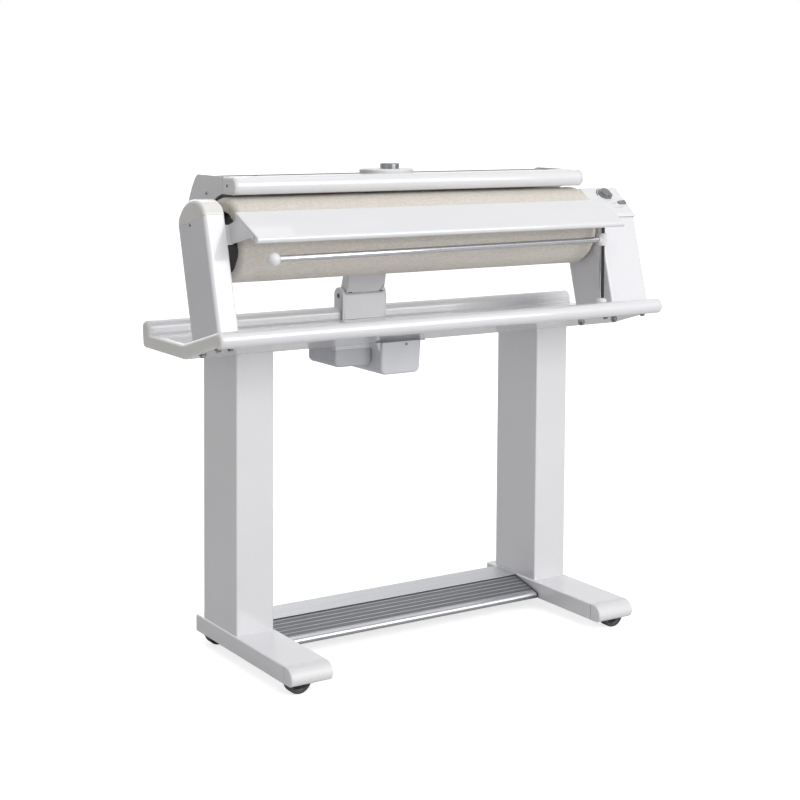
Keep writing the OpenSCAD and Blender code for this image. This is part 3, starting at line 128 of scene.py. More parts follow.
@dataclass(frozen=True)
class Finish:
    """One finish: what the surface is made of and how it was made.

    Attributes:
        name: The material's name.
        slot: The record's material slot; not used.
        colour: sRGB hex colour of the clean surface.
        shade: sRGB hex colour that faint variation goes towards.
        roughness: Mean roughness.
        metallic: 1 for bare metal.
        grain_mm: Size of the surface's grain in millimetres.
        relief_mm: Height of the grain in millimetres.
        coat: Weight of a clear top layer.
        coat_roughness: Roughness of that layer.
    """

    name: str
    slot: str
    colour: str
    shade: str
    roughness: float
    metallic: float = 0.0
    grain_mm: float = 1.5
    relief_mm: float = 0.004
    coat: float = 0.0
    coat_roughness: float = 0.08

    def material(self) -> bpy.types.Material:
        """Returns this finish's material, made on first use."""
        found = bpy.data.materials.get(self.name)
        if found is None:
            found = bpy.data.materials.new(self.name)
            found.use_nodes = True
            found.node_tree.nodes.clear()
            self.paint(found.node_tree)
        return found

    def shader(self, tree: bpy.types.NodeTree, inputs: dict) -> bpy.types.Node:
        """Adds the surface shader and the output.

        Args:
            tree: The material's tree.
            inputs: Sockets or values of the shader.

        Returns:
            The shader node.
        """
        bsdf = add_node(tree, "ShaderNodeBsdfPrincipled", {"Metallic": self.metallic, **inputs})
        if self.coat:
            bsdf.inputs["Coat Weight"].default_value = self.coat
            bsdf.inputs["Coat Roughness"].default_value = self.coat_roughness
        add_node(tree, "ShaderNodeOutputMaterial", {"Surface": bsdf.outputs["BSDF"]})
        return bsdf

    def coordinates(self, tree: bpy.types.NodeTree, stretch: Point3 = (1, 1, 1)) -> bpy.types.NodeSocket:
        """Adds object coordinates in metres, stretched per axis.

        Args:
            tree: The material's tree.
            stretch: Scale along X, Y and Z.

        Returns:
            The vector socket.
        """
        place = add_node(tree, "ShaderNodeTexCoord")
        return add_node(tree, "ShaderNodeMapping", {"Vector": place.outputs["Object"], "Scale": stretch}).outputs[0]

    def mixed(self, tree: bpy.types.NodeTree, factor: bpy.types.NodeSocket) -> bpy.types.NodeSocket:
        """Mixes the colour towards its shade.

        Args:
            tree: The material's tree.
            factor: How far, from 0 to 1.

        Returns:
            The colour socket.
        """
        mix = add_node(tree, "ShaderNodeMix", {"Factor": factor, 6: linear(self.colour), 7: linear(self.shade)},
                       data_type="RGBA")
        return mix.outputs[2]

    def spread(self, tree: bpy.types.NodeTree, source: bpy.types.NodeSocket, low: float, high: float,
               to_low: float = 0.0, to_high: float = 1.0) -> bpy.types.NodeSocket:
        """Maps a range of values to another, clamped.

        Args:
            tree: The material's tree.
            source: The value that is mapped.
            low: Start of the range.
            high: End of the range.
            to_low: Result at the start.
            to_high: Result at the end.

        Returns:
            The mapped value.
        """
        return add_node(tree, "ShaderNodeMapRange", {"Value": source, "From Min": low, "From Max": high,
                        "To Min": to_low, "To Max": to_high}).outputs[0]

    def paint(self, tree: bpy.types.NodeTree) -> None:
        """Draws the finish: here fine grain with faint variation in tone and gloss.

        Args:
            tree: The material's tree.
        """
        where = self.coordinates(tree)
        grain = add_node(tree, "ShaderNodeTexNoise", {"Vector": where, "Scale": 1 / (self.grain_mm * MM),
                         "Detail": 3.0})
        # Clouds of tone about 110 mm across, as broad as a moulded part
        cloud = add_node(tree, "ShaderNodeTexNoise", {"Vector": where, "Scale": 9.0, "Detail": 2.0})
        bump = add_node(tree, "ShaderNodeBump", {"Height": grain.outputs[0], "Strength": 0.6,
                        "Distance": self.relief_mm * MM})
        self.shader(tree, {
            "Base Color": self.mixed(tree, self.spread(tree, cloud.outputs[0], 0.35, 0.75)),
            "Roughness": self.spread(tree, grain.outputs[0], 0.3, 0.7, self.roughness * 0.88, self.roughness * 1.12),
            "Normal": bump.outputs[0]})


@dataclass(frozen=True)
class PowderCoat(Finish):
    """Baked coat on sheet steel: glossy, with a faint orange peel that breaks up highlights.

    The peel is drawn much coarser than real, because a grain below the size of a pixel only adds noise.
    """

    def paint(self, tree: bpy.types.NodeTree) -> None:
        """Draws the orange peel, a little dust in the tone and softer gloss in places."""
        where = self.coordinates(tree)
        peel = add_node(tree, "ShaderNodeTexNoise", {"Vector": where, "Scale": 1 / (self.grain_mm * MM),
                        "Detail": 1.0})
        # Clouds of tone about 170 mm across, as a spray gun's passes leave them
        cloud = add_node(tree, "ShaderNodeTexNoise", {"Vector": where, "Scale": 6.0, "Detail": 4.0})
        bump = add_node(tree, "ShaderNodeBump", {"Height": peel.outputs[0], "Strength": 0.35,
                        "Distance": self.relief_mm * MM})
        self.shader(tree, {
            "Base Color": self.mixed(tree, self.spread(tree, cloud.outputs[0], 0.15, 0.95)),
            "Roughness": self.spread(tree, cloud.outputs[0], 0.1, 0.9, self.roughness * 0.85, self.roughness * 1.15),
            "Normal": bump.outputs[0]})


@dataclass(frozen=True)
class ExtrudedAluminium(Finish):
    """Anodised aluminium profile: fine die lines run along X and stretch the highlights across them."""

    def paint(self, tree: bpy.types.NodeTree) -> None:
        """Draws die lines of the profile, coarser than real so that they show in the picture."""
        where = self.coordinates(tree, (0.012, 1.0, 1.0))
        lines = add_node(tree, "ShaderNodeTexNoise", {"Vector": where, "Scale": 1 / (self.grain_mm * MM),
                         "Detail": 4.0, "Roughness": 0.7})
        bump = add_node(tree, "ShaderNodeBump", {"Height": lines.outputs[0], "Strength": 0.5,
                        "Distance": self.relief_mm * MM})
        self.shader(tree, {
            "Base Color": self.mixed(tree, self.spread(tree, lines.outputs[0], 0.3, 0.7)),
            "Roughness": self.spread(tree, lines.outputs[0], 0.3, 0.7, self.roughness * 0.8, self.roughness * 1.2),
            "Normal": bump.outputs[0]})


@dataclass(frozen=True)
class TurnedMetal(Finish):
    """Turned or drawn metal: faint rings or draw marks under a bright surface."""

    def paint(self, tree: bpy.types.NodeTree) -> None:
        """Draws short tool marks with a little change in gloss."""
        where = self.coordinates(tree)
        marks = add_node(tree, "ShaderNodeTexNoise", {"Vector": where, "Scale": 1 / (self.grain_mm * MM),
                         "Detail": 5.0, "Distortion": 0.6})
        bump = add_node(tree, "ShaderNodeBump", {"Height": marks.outputs[0], "Strength": 0.25,
                        "Distance": self.relief_mm * MM})
        self.shader(tree, {
            "Base Color": self.mixed(tree, self.spread(tree, marks.outputs[0], 0.35, 0.7)),
            "Roughness": self.spread(tree, marks.outputs[0], 0.3, 0.7, self.roughness * 0.7, self.roughness * 1.3),
            "Normal": bump.outputs[0]})


@dataclass(frozen=True)
class WovenCotton(Finish):
    """Unbleached cotton cloth on the roller: threads round and along it, slubs and paler flecks."""

    def paint(self, tree: bpy.types.NodeTree) -> None:
        """Draws the weave from two crossed waves, coarser than real threads so that it shows, with slubs and fuzz."""
        where = self.coordinates(tree)
        # A wave's period is 0.314 over its scale, so both come out one grain wide
        warp = add_node(tree, "ShaderNodeTexWave", {"Vector": where, "Scale": 0.314 / (self.grain_mm * MM),
                        "Distortion": 1.5, "Detail": 2.0, "Detail Scale": 2.0}, bands_direction="X")
        weft = add_node(tree, "ShaderNodeTexWave", {"Vector": where, "Scale": 0.314 / (self.grain_mm * MM),
                        "Distortion": 2.0, "Detail": 2.0}, bands_direction="DIAGONAL")
        weave = add_node(tree, "ShaderNodeMath", {0: warp.outputs[1], 1: weft.outputs[1]}, operation="MULTIPLY")
        # Flecks about 2.4 mm and slubs about 4.8 mm apart, the slubs drawn out along the roller
        fleck = add_node(tree, "ShaderNodeTexNoise", {"Vector": where, "Scale": 420.0, "Detail": 4.0,
                         "Roughness": 0.8})
        slub = add_node(tree, "ShaderNodeTexNoise", {"Vector": self.coordinates(tree, (0.6, 1.0, 1.0)),
                        "Scale": 210.0, "Detail": 3.0})
        tone = add_node(tree, "ShaderNodeMath", {0: fleck.outputs[0], 1: slub.outputs[0]}, operation="ADD")
        rise = add_node(tree, "ShaderNodeMath", {0: weave.outputs[0], 1: fleck.outputs[0]}, operation="ADD")
        bump = add_node(tree, "ShaderNodeBump", {"Height": rise.outputs[0], "Strength": 0.7,
                        "Distance": self.relief_mm * MM})
        bsdf = self.shader(tree, {
            "Base Color": self.mixed(tree, self.spread(tree, tone.outputs[0], 0.82, 1.22)),
            "Roughness": self.spread(tree, fleck.outputs[0], 0.3, 0.7, 0.82, 0.96),
            "Normal": bump.outputs[0]})
        bsdf.inputs["Sheen Weight"].default_value = 0.12
        bsdf.inputs["Sheen Roughness"].default_value = 0.5


class Palette:
    """Every finish on the ironer, by the part that wears it."""

    # Baked enamel over sheet steel: cool white under a clear, hard gloss that mirrors its surroundings
    WHITE = PowderCoat("White enamel on steel", "white_coat", "#e9e9eb", "#e3e3e6", 0.42, grain_mm=16.0,
                       relief_mm=0.0004, coat=1.0)
    # The same enamel on large flat faces, where it flows out smoother and mirrors its neighbours sharply
    GLOSS = PowderCoat("White enamel, high gloss", "white_coat", "#e9e9ec", "#e4e4e8", 0.3, grain_mm=18.0,
                       relief_mm=0.0001, coat=1.0, coat_roughness=0.03)
    # Moulded caps: the same white, a little warmer because plastic ages
    BEIGE = Finish("Moulded ABS, warm white", "beige_plastic", "#ecebe8", "#e6e4e0", 0.32, grain_mm=1.4, coat=0.5)
    # Moulded in textured tools: white without the enamel's mirror, so its highlights spread wide
    WHITE_PLASTIC = Finish("Moulded ABS, white", "white_plastic", "#ebebec", "#e5e5e7", 0.45, grain_mm=1.4,
                           coat=0.25)
    # The drive housing is moulded thick and slightly matt: cool pale grey with soft highlights
    PALE_GREY = Finish("Moulded ABS, pale grey", "light_grey_plastic", "#dcdde0", "#d5d6da", 0.40, grain_mm=1.0,
                       relief_mm=0.004, coat=0.2)
    # Painted shade: the left lobe is set back under the collar, so it gets a darker copy of the pale grey
    SHADED_GREY = Finish("Moulded ABS, shaded grey", "light_grey_plastic", "#c4c5c9", "#babbc0", 0.45,
                         grain_mm=1.0, relief_mm=0.004, coat=0.1)
    # The cover's top is a grey strip that lies flush between the white end plates
    GREY_TOP = PowderCoat("Grey enamel on steel", "white_coat", "#6a696d", "#605f63", 0.92, grain_mm=2.2,
                          relief_mm=0.02)
    # Nylon moulded with glass fibre: dull dark grey
    DARK_GREY = Finish("Moulded nylon, dark grey", "dark_grey_plastic", "#57585c", "#4a4b4f", 0.45, grain_mm=0.8,
                       relief_mm=0.01)
    # Knob and switch come from polished tools: mid grey with a clear highlight
    GREY = Finish("Moulded ABS, grey", "grey_plastic", "#7b7d81", "#6c6e72", 0.32, grain_mm=0.9, coat=0.3)
    # Nylon left in its own black: deep, with a thin sheen
    BLACK = Finish("Moulded nylon, black", "black_plastic", "#161719", "#101113", 0.35, grain_mm=0.8)
    # Cast tread: soft dark grey without gloss
    RUBBER = Finish("Castor tread, grey polyurethane", "black_rubber", "#4a4b4e", "#3b3c3f", 0.55, grain_mm=0.7,
                    relief_mm=0.02)
    # Extruded and anodised bright: silver, with highlights drawn out along the die lines
    ALUMINIUM = ExtrudedAluminium("Anodised aluminium, bright", "anodised_aluminium", "#d0d1d4", "#bcbdc0", 0.34,
                                  metallic=1.0, grain_mm=1.6, relief_mm=0.006)
    # Left natural after anodising: paler and more matt
    BEAM = ExtrudedAluminium("Anodised aluminium, natural", "anodised_aluminium", "#c0c1c4", "#b3b4b7", 0.5,
                             metallic=1.0, grain_mm=1.6, relief_mm=0.008)
    # Etched before anodising: it scatters light and looks darker between the ridges
    DARK_ALUMINIUM = ExtrudedAluminium("Anodised aluminium, dull", "dark_anodised_aluminium", "#838487",
                                       "#77787b", 0.6, metallic=1.0, grain_mm=1.6, relief_mm=0.006)
    # Painted highlight: the ridges' tops get a paler copy of the aluminium for the light lines along them
    RIDGE_HIGHLIGHT = ExtrudedAluminium("Anodised aluminium, ridges with painted highlight", "anodised_aluminium", "#bdbec1", "#b0b1b4", 0.55,
                              metallic=1.0, grain_mm=1.6, relief_mm=0.004)
    # Drawn steel under chrome: nearly a mirror, with dark and bright lines along the rod
    CHROME = TurnedMetal("Chromed steel rod", "chromed_steel", "#dcdcdf", "#c9c9cd", 0.07, metallic=1.0,
                         grain_mm=3.0, relief_mm=0.001)
    # Zinc over pressed steel: dull silver grey with small bright grains
    ZINC = TurnedMetal("Zinc-plated steel", "zinc_steel", "#8d8f92", "#737578", 0.30, metallic=1.0, grain_mm=0.8)
    # Cut and ground steel: darker, with short tool marks
    STEEL = TurnedMetal("Ground gear steel", "gear_steel", "#85888c", "#6c6f73", 0.3, metallic=1.0, grain_mm=0.6)
    # Cast, then polished where the linen slides: bright and smooth
    SHOE_METAL = TurnedMetal("Polished cast aluminium", "cast_aluminium", "#cfd0d2", "#b9bbbe", 0.2, metallic=1.0,
                             grain_mm=2.0)
    # Turned on a lathe: fine rings that dull the silver
    TURNED_ALUMINIUM = TurnedMetal("Turned aluminium", "anodised_aluminium", "#9b9ca0", "#87888c", 0.3,
                                   metallic=1.0, grain_mm=1.2, relief_mm=0.003)
    # Glass cloth in epoxy under green lacquer: smooth, faintly mottled
    BOARD = Finish("Glass-epoxy circuit board", "circuit_board", "#2f5a3a", "#264a30", 0.4, grain_mm=1.5)
    # Plain-woven unbleached cotton: warm off-white, matt and slubby
    CLOTH = WovenCotton("Woven cotton, unbleached", "ecru_cotton", "#e9e4dc", "#dbd4c9", 0.9, grain_mm=1.0,
                        relief_mm=0.2)


# mesh tools


def arc(centre: Point, radius: float, start: float, end: float, steps: int = 12) -> list[Point]:
    """Returns points on an arc.

    Args:
        centre: The arc's centre.
        radius: Its radius.
        start: First angle in degrees.
        end: Last angle in degrees.
        steps: Number of pieces.

    Returns:
        steps + 1 points.
    """
    turns = [math.radians(start + (end - start) * i / steps) for i in range(steps + 1)]
    return [(centre[0] + radius * math.cos(a), centre[1] + radius * math.sin(a)) for a in turns]


def into_space(axis: Axis, along: float, point: Point) -> Vector:
    """Places an outline's point in space, in metres.

    Args:
        axis: The axis that the outline is pushed along.
        along: Place on that axis in millimetres.
        point: The outline's point: (y, z) for X, (x, z) for Y and (x, y) for Z.

    Returns:
        The point in metres.
    """
    a, b = point
    spots = {Axis.X: (along, a, b), Axis.Y: (a, along, b), Axis.Z: (a, b, along)}
    return Vector(spots[axis]) * MM


def finish_mesh(bm: bmesh.types.BMesh, name: str, bevel: float = 0.0,
                angle: float = SHARP_DEG) -> bpy.types.Object:
    """Turns a bmesh into a smooth-shaded object, with its edges rounded by their bevel weight.

    Args:
        bm: The mesh, which is freed.
        name: Name of the piece.
        bevel: Radius in millimetres of an edge of full weight, or 0 for no rounding.
        angle: Edges sharper than this many degrees break the shading.

    Returns:
        The new object.
    """
    bmesh.ops.recalc_face_normals(bm, faces=bm.faces)
    mesh = bpy.data.meshes.new(name)
    bm.to_mesh(mesh)
    bm.free()
    obj = bpy.data.objects.new(name, mesh)
    bpy.context.scene.collection.objects.link(obj)
    if bevel:
        rounding = obj.modifiers.new("edge", "BEVEL")
        rounding.width = bevel * MM
        rounding.segments = EDGE_STEPS
        rounding.limit_method = "WEIGHT"
        rounding.use_clamp_overlap = False
        rounding.harden_normals = True
    mesh.shade_smooth()
    split = obj.modifiers.new("shading", "WEIGHTED_NORMAL")
    split.keep_sharp = True
    mark_sharp(mesh, angle)
    return obj


def mark_sharp(mesh: bpy.types.Mesh, angle: float) -> None:
    """Marks edges sharper than an angle as sharp, for shading.

    Args:
        mesh: The mesh.
        angle: The limit in degrees.
    """
    bm = bmesh.new()
    bm.from_mesh(mesh)
    for edge in bm.edges:
        edge.smooth = len(edge.link_faces) == 2 and edge.calc_face_angle(0.0) < math.radians(angle)
    bm.to_mesh(mesh)
    bm.free()


def prism(name: str, outline: list[Point], axis: Axis, low: float, high: float, ends: Point = (1.0, 1.0),
          rim: float | None = None, seams: tuple[int, ...] = (), cuts: int = 0) -> bpy.types.Object:
    """Pushes an outline along an axis and rounds its edges.

    Args:
        name: Name of the piece.
        outline: Its points in order, in millimetres.
        axis: The axis that it is pushed along.
        low: Start on that axis.
        high: End on that axis.
        ends: Radius of the edges round its low end and its high end.
        rim: Radius of the edges between both ends, or None for the smaller of ends.
        seams: Sides of the outline, by their first point, that meet another piece and stay nearly sharp.
        cuts: Rings of vertices between both ends.

    Returns:
        The new object.
    """
    bm = bmesh.new()
    weight = bm.edges.layers.float.new("bevel_weight_edge")
    rings = []
    for i in range(cuts + 2):
        along = low + (high - low) * i / (cuts + 1)
        rings.append([bm.verts.new(into_space(axis, along, p)) for p in outline])
    count = len(outline)
    for first, second in zip(rings, rings[1:]):
        for i in range(count):
            j = (i + 1) % count
            bm.faces.new((first[i], first[j], second[j], second[i]))
    bm.faces.new(rings[0])
    bm.faces.new(rings[-1])
    bm.normal_update()
    widest = max(*ends, rim or 0.0, 0.01)
    between = min(ends) if rim is None else rim
    seam_points = {k % count for i in seams for k in (i, i + 1)}
    place = {v: (r, i) for r, ring in enumerate(rings) for i, v in enumerate(ring)}
    for edge in bm.edges:
        (ring_a, i), (ring_b, j) = (place[v] for v in edge.verts)
        if ring_a == ring_b:
            radius = ends[0] if ring_a == 0 else ends[1] if ring_a == cuts + 1 else 0.0
            side = i if (i + 1) % count == j else j
            radius = min(radius, SEAM) if side in seams else radius
        else:
            corner = edge.calc_face_angle(0.0) > math.radians(CORNER_DEG)
            radius = (min(between, SEAM) if i in seam_points else between) if corner else 0.0
        edge[weight] = radius / widest
    return finish_mesh(bm, name, widest)


def lathe(name: str, profile: list[Point], centre: Point3, axis: Vector, steps: int = 64) -> bpy.types.Object:
    """Turns a profile round an axis.

    Args:
        name: Name of the piece.
        profile: Points (radius, height along the axis) in millimetres.
        centre: Where height 0 lies, in millimetres.
        axis: Direction of the axis.
        steps: Number of steps round it.

    Returns:
        The new object.
    """
    turn = axis.normalized().to_track_quat("Z", "Y").to_matrix()
    base = Vector(centre)
    bm = bmesh.new()
    rings = []
    for radius, height in profile:
        if radius < 1e-6:
            rings.append([bm.verts.new((base + turn @ Vector((0, 0, height))) * MM)])
            continue
        rings.append([bm.verts.new((base + turn @ Vector((radius * math.cos(a), radius * math.sin(a), height))) * MM)
                      for a in (2 * math.pi * i / steps for i in range(steps))])
    for first, second in zip(rings, rings[1:]):
        for i in range(steps):
            j = (i + 1) % steps
            corner = [first[i % len(first)], first[j % len(first)], second[j % len(second)], second[i % len(second)]]
            face = list(dict.fromkeys(corner))
            if len(face) > 2:
                bm.faces.new(face)
    return finish_mesh(bm, name)


def rounded(half_a: float, half_b: float, radius: float, centre: Point = (0.0, 0.0), steps: int = 6) -> list[Point]:
    """Returns a rectangle's outline with round corners.

    Args:
        half_a: Half its first side.
        half_b: Half its second side.
        radius: Radius of the corners.
        centre: Its middle.
        steps: Steps of each corner.

    Returns:
        The outline.
    """
    out: list[Point] = []
    for sa, sb, start in ((1, 1, 0), (-1, 1, 90), (-1, -1, 180), (1, -1, 270)):
        corner = (centre[0] + sa * (half_a - radius), centre[1] + sb * (half_b - radius))
        out += arc(corner, radius, start, start + 90, steps)
    return out


def join(name: str, pieces: list[bpy.types.Object]) -> bpy.types.Object:
    """Joins pieces into one object, with their modifiers applied.

    Args:
        name: Name of the joined piece.
        pieces: The pieces.

    Returns:
        The joined object.
    """
    bpy.context.view_layer.update()
    graph = bpy.context.evaluated_depsgraph_get()
    whole = bmesh.new()
    for piece in pieces:
        mesh = bpy.data.meshes.new_from_object(piece.evaluated_get(graph))
        mesh.transform(piece.matrix_world)
        whole.from_mesh(mesh)
        bpy.data.objects.remove(piece, do_unlink=True)
    mesh = bpy.data.meshes.new(name)
    whole.to_mesh(mesh)
    whole.free()
    obj = bpy.data.objects.new(name, mesh)
    bpy.context.scene.collection.objects.link(obj)
    return obj


def cut(obj: bpy.types.Object, *boxes: tuple[Point3, Point3]) -> None:
    """Cuts boxes out of a piece, before its edges are rounded, as room for what moves through it.

    Args:
        obj: The piece.
        boxes: Each box's low and high corner, in millimetres.
    """
    blocks = []
    for held in obj.modifiers:
        held.show_viewport = False
    for (x0, y0, z0), (x1, y1, z1) in boxes:
        blocks.append(prism("block", [(y0, z0), (y1, z0), (y1, z1), (y0, z1)], Axis.X, x0, x1, (0.0, 0.0)))
        obj.modifiers.new("room", "BOOLEAN").object = blocks[-1]
    bpy.context.view_layer.update()
    obj.data = bpy.data.meshes.new_from_object(obj.evaluated_get(bpy.context.evaluated_depsgraph_get()))
    for block in blocks:
        bpy.data.objects.remove(block, do_unlink=True)
    for held in list(obj.modifiers):
        if held.type == "BOOLEAN":
            obj.modifiers.remove(held)
        else:
            held.show_viewport = True
    mark_sharp(obj.data, SHARP_DEG)


# sizes that several sub-assemblies share


@dataclass(frozen=True)
class Datum:
    """The lines and levels of the ironer that its sub-assemblies share, in millimetres.

    Attributes:
        fold_y: Where the tray folds from its flat bed to its rising wing.
        bed_z: Top of the bed.
        under_z: Underside of the bed.
        wing_angle: Rise of the wing in degrees.
        roller: The roller's axis as (y, z).
        roller_r: The roller's radius over its cloth.
        roller_x: The roller's ends.
        shoe_x: Outer faces of the shoe's end plates.
        pivot: The arm's hinge as (y, z).
        arm_x: Middle of the arm.
        sector_half: Half the slot that the arm's toothed sector swings in.
    """

    fold_y: float = 12.6
    bed_z: float = 625.0
    under_z: float = 597.0
    wing_angle: float = 15.4
    roller: Point = (12.6, 812.4)
    roller_r: float = 80.0
    roller_x: Point = (-430.0, 398.0)
    shoe_x: Point = (-425.0, 386.0)
    pivot: Point = (171.5, 672.9)
    arm_x: float = -33.8
    sector_half: float = 7.0

    def on_wing(self, run: float, rise: float) -> Point:
        """Returns the (y, z) of a point given along and square to the wing."""
        a = math.radians(self.wing_angle)
        return (self.fold_y - run * math.cos(a) + rise * math.sin(a),
                self.bed_z + run * math.sin(a) + rise * math.cos(a))


@dataclass
class SubAssembly:
    """Pieces that are made, dressed and hung on their bodies together."""

    datum: Datum = field(default_factory=Datum)

    def place(self, obj: bpy.types.Object, body: Body, finish: Finish, *nodes: str) -> None:
        """Dresses a piece and hangs it on its body.

        Args:
            obj: The piece, in place.
            body: The body that it rides on.
            finish: Its finish.
            nodes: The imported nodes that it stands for.
        """
        obj.data.materials.clear()
        obj.data.materials.append(finish.material())
        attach(obj, body.value)
        if nodes:
            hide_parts(*nodes)
        LOG.info("%s: %s", type(self).__name__, obj.name)

    def dress(self, finish: Finish, *nodes: str, bevel: float = 0.0) -> None:
        """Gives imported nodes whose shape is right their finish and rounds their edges.

        Args:
            finish: The finish.
            nodes: The nodes.
            bevel: Radius of their edges in millimetres, or 0 for none.
        """
        for name in nodes:
            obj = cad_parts[name]
            if not obj.material_slots:
                obj.data.materials.append(finish.material())
            for held in obj.material_slots:
                held.material = finish.material()
            if bevel:
                flat = obj.modifiers.new("flat faces", "DECIMATE")
                flat.decimate_type = "DISSOLVE"
                flat.angle_limit = math.radians(NODE_FLAT_DEG)
                rounding = obj.modifiers.new("edge", "BEVEL")
                rounding.width = bevel * MM
                rounding.segments = NODE_EDGE_STEPS
                rounding.limit_method = "ANGLE"
                rounding.angle_limit = math.radians(NODE_EDGE_DEG)
                rounding.harden_normals = True
            LOG.info("%s: node %s", type(self).__name__, name)


# tray


@dataclass
class Tray(SubAssembly):
    """The folded tray with its round noses, end caps and the bolts under its wing."""

    half: float = 504.0
    cap: float = 8.0
    nose_r: float = 15.0
    wing_run: float = 142.8
    wing_end_t: float = 25.0
    rear: Point = (177.0, 635.0)
    heel: Point = (180.3, 606.0)
    heel_r: float = 9.0
    under_fold_y: float = 8.8
    bolt_spots: tuple[Point, ...] = ((-0.963, 0.3), (-0.963, 0.745), (-0.918, 0.76), (0.754, 0.29),
                                     (0.766, 0.785), (0.811, 0.78), (0.918, 0.33), (0.965, 0.77))

    def outline(self, grow: float = 0.0) -> list[Point]:
        """Returns the tray's closed outline, from its fold over the front nose and the heel to the rear nose.

        Args:
            grow: How far it stands outside the sheet, in millimetres.

        Returns:
            The (y, z) outline.
        """
        d, r = self.datum, self.nose_r + grow
        nose = d.on_wing(self.wing_run, -self.nose_r)
        dip = math.degrees(math.asin((self.wing_end_t - self.nose_r) / r))
        front = arc(nose, r, 90 - d.wing_angle, 360 - d.wing_angle - dip, 26)
        way = Vector(self.rear) - Vector(self.heel)
        lean = math.degrees(math.atan2(way.y, way.x) - math.acos((self.heel_r - self.nose_r) / way.length))
        heel = arc(self.heel, self.heel_r + grow, 270, 360 + lean, 10)
        back = arc(self.rear, r, lean, 180, 24)
        wall = self.rear[0] - r
        root = arc((wall - 3 - grow, d.bed_z + 3), 3 - grow, 0, -90, 3)
        return [d.on_wing(0, grow)] + front + [(self.under_fold_y, d.under_z - grow)] + heel + back + root

    def build(self) -> None:
        """Builds the profile, its end caps and the bolts."""
        body = prism("Tray-profile", self.outline(), Axis.X, -self.half, self.half, (0.2, 0.2), rim=1.5, cuts=2)
        # The arm's toothed sector swings through a slot behind the bracket's face, longer in the underside
        x0, x1 = self.datum.arm_x - self.datum.sector_half, self.datum.arm_x + self.datum.sector_half
        cut(body, ((x0, 153.6, 612.0), (x1, 187.5, 660.0)), ((x0, 147.5, 580.0), (x1, 187.5, 621.0)))
        self.place(body, Body.FRAME, Palette.GLOSS, "tray_profile")
        # Soft moulded rims: the caps' outer edges are far rounder than the edge that meets the sheet
        for low, high, ends, node in ((-self.half - self.cap, -self.half - 0.15, (5.5, 0.4), "tray_cap_left"),
                                      (self.half + 0.15, self.half + self.cap, (0.4, 5.5), "tray_cap_right")):
            cap = prism(f"Tray-end-{node[9:]}", self.outline(0.2), Axis.X, low, high, ends, rim=0.8)
            self.place(cap, Body.FRAME, Palette.BEIGE, node)
        self.bolts()
        self.dress(Palette.ZINC, "housing_screws")

    def bolts(self) -> None:
        """Builds hexagon heads with washers on the underside of the wing, at the model's bolts."""
        d = self.datum
        low, tip = Vector((self.under_fold_y, d.under_z)), Vector(d.on_wing(self.wing_run, -self.wing_end_t))
        along = (tip - low).normalized()
        down = Vector((0, -abs(along.y), -abs(along.x)))
        heads = []
        for share_x, share in self.bolt_spots:
            spot = low.lerp(tip, share)
            at = (share_x * (self.half + self.cap), spot.x, spot.y)
            heads.append(lathe("washer", [(2.8, 0), (7.0, 0), (7.0, 1.0), (6.6, 1.4), (2.8, 1.4)], at, down, 32))
            heads.append(lathe("head", [(0, 1.4), (5.2, 1.4), (5.2, 4.4), (4.4, 5.2), (0, 5.2)], at, down, 6))
        self.place(join("Wing-bolts", heads), Body.FRAME, Palette.ZINC, "tray_bolts")


# stand


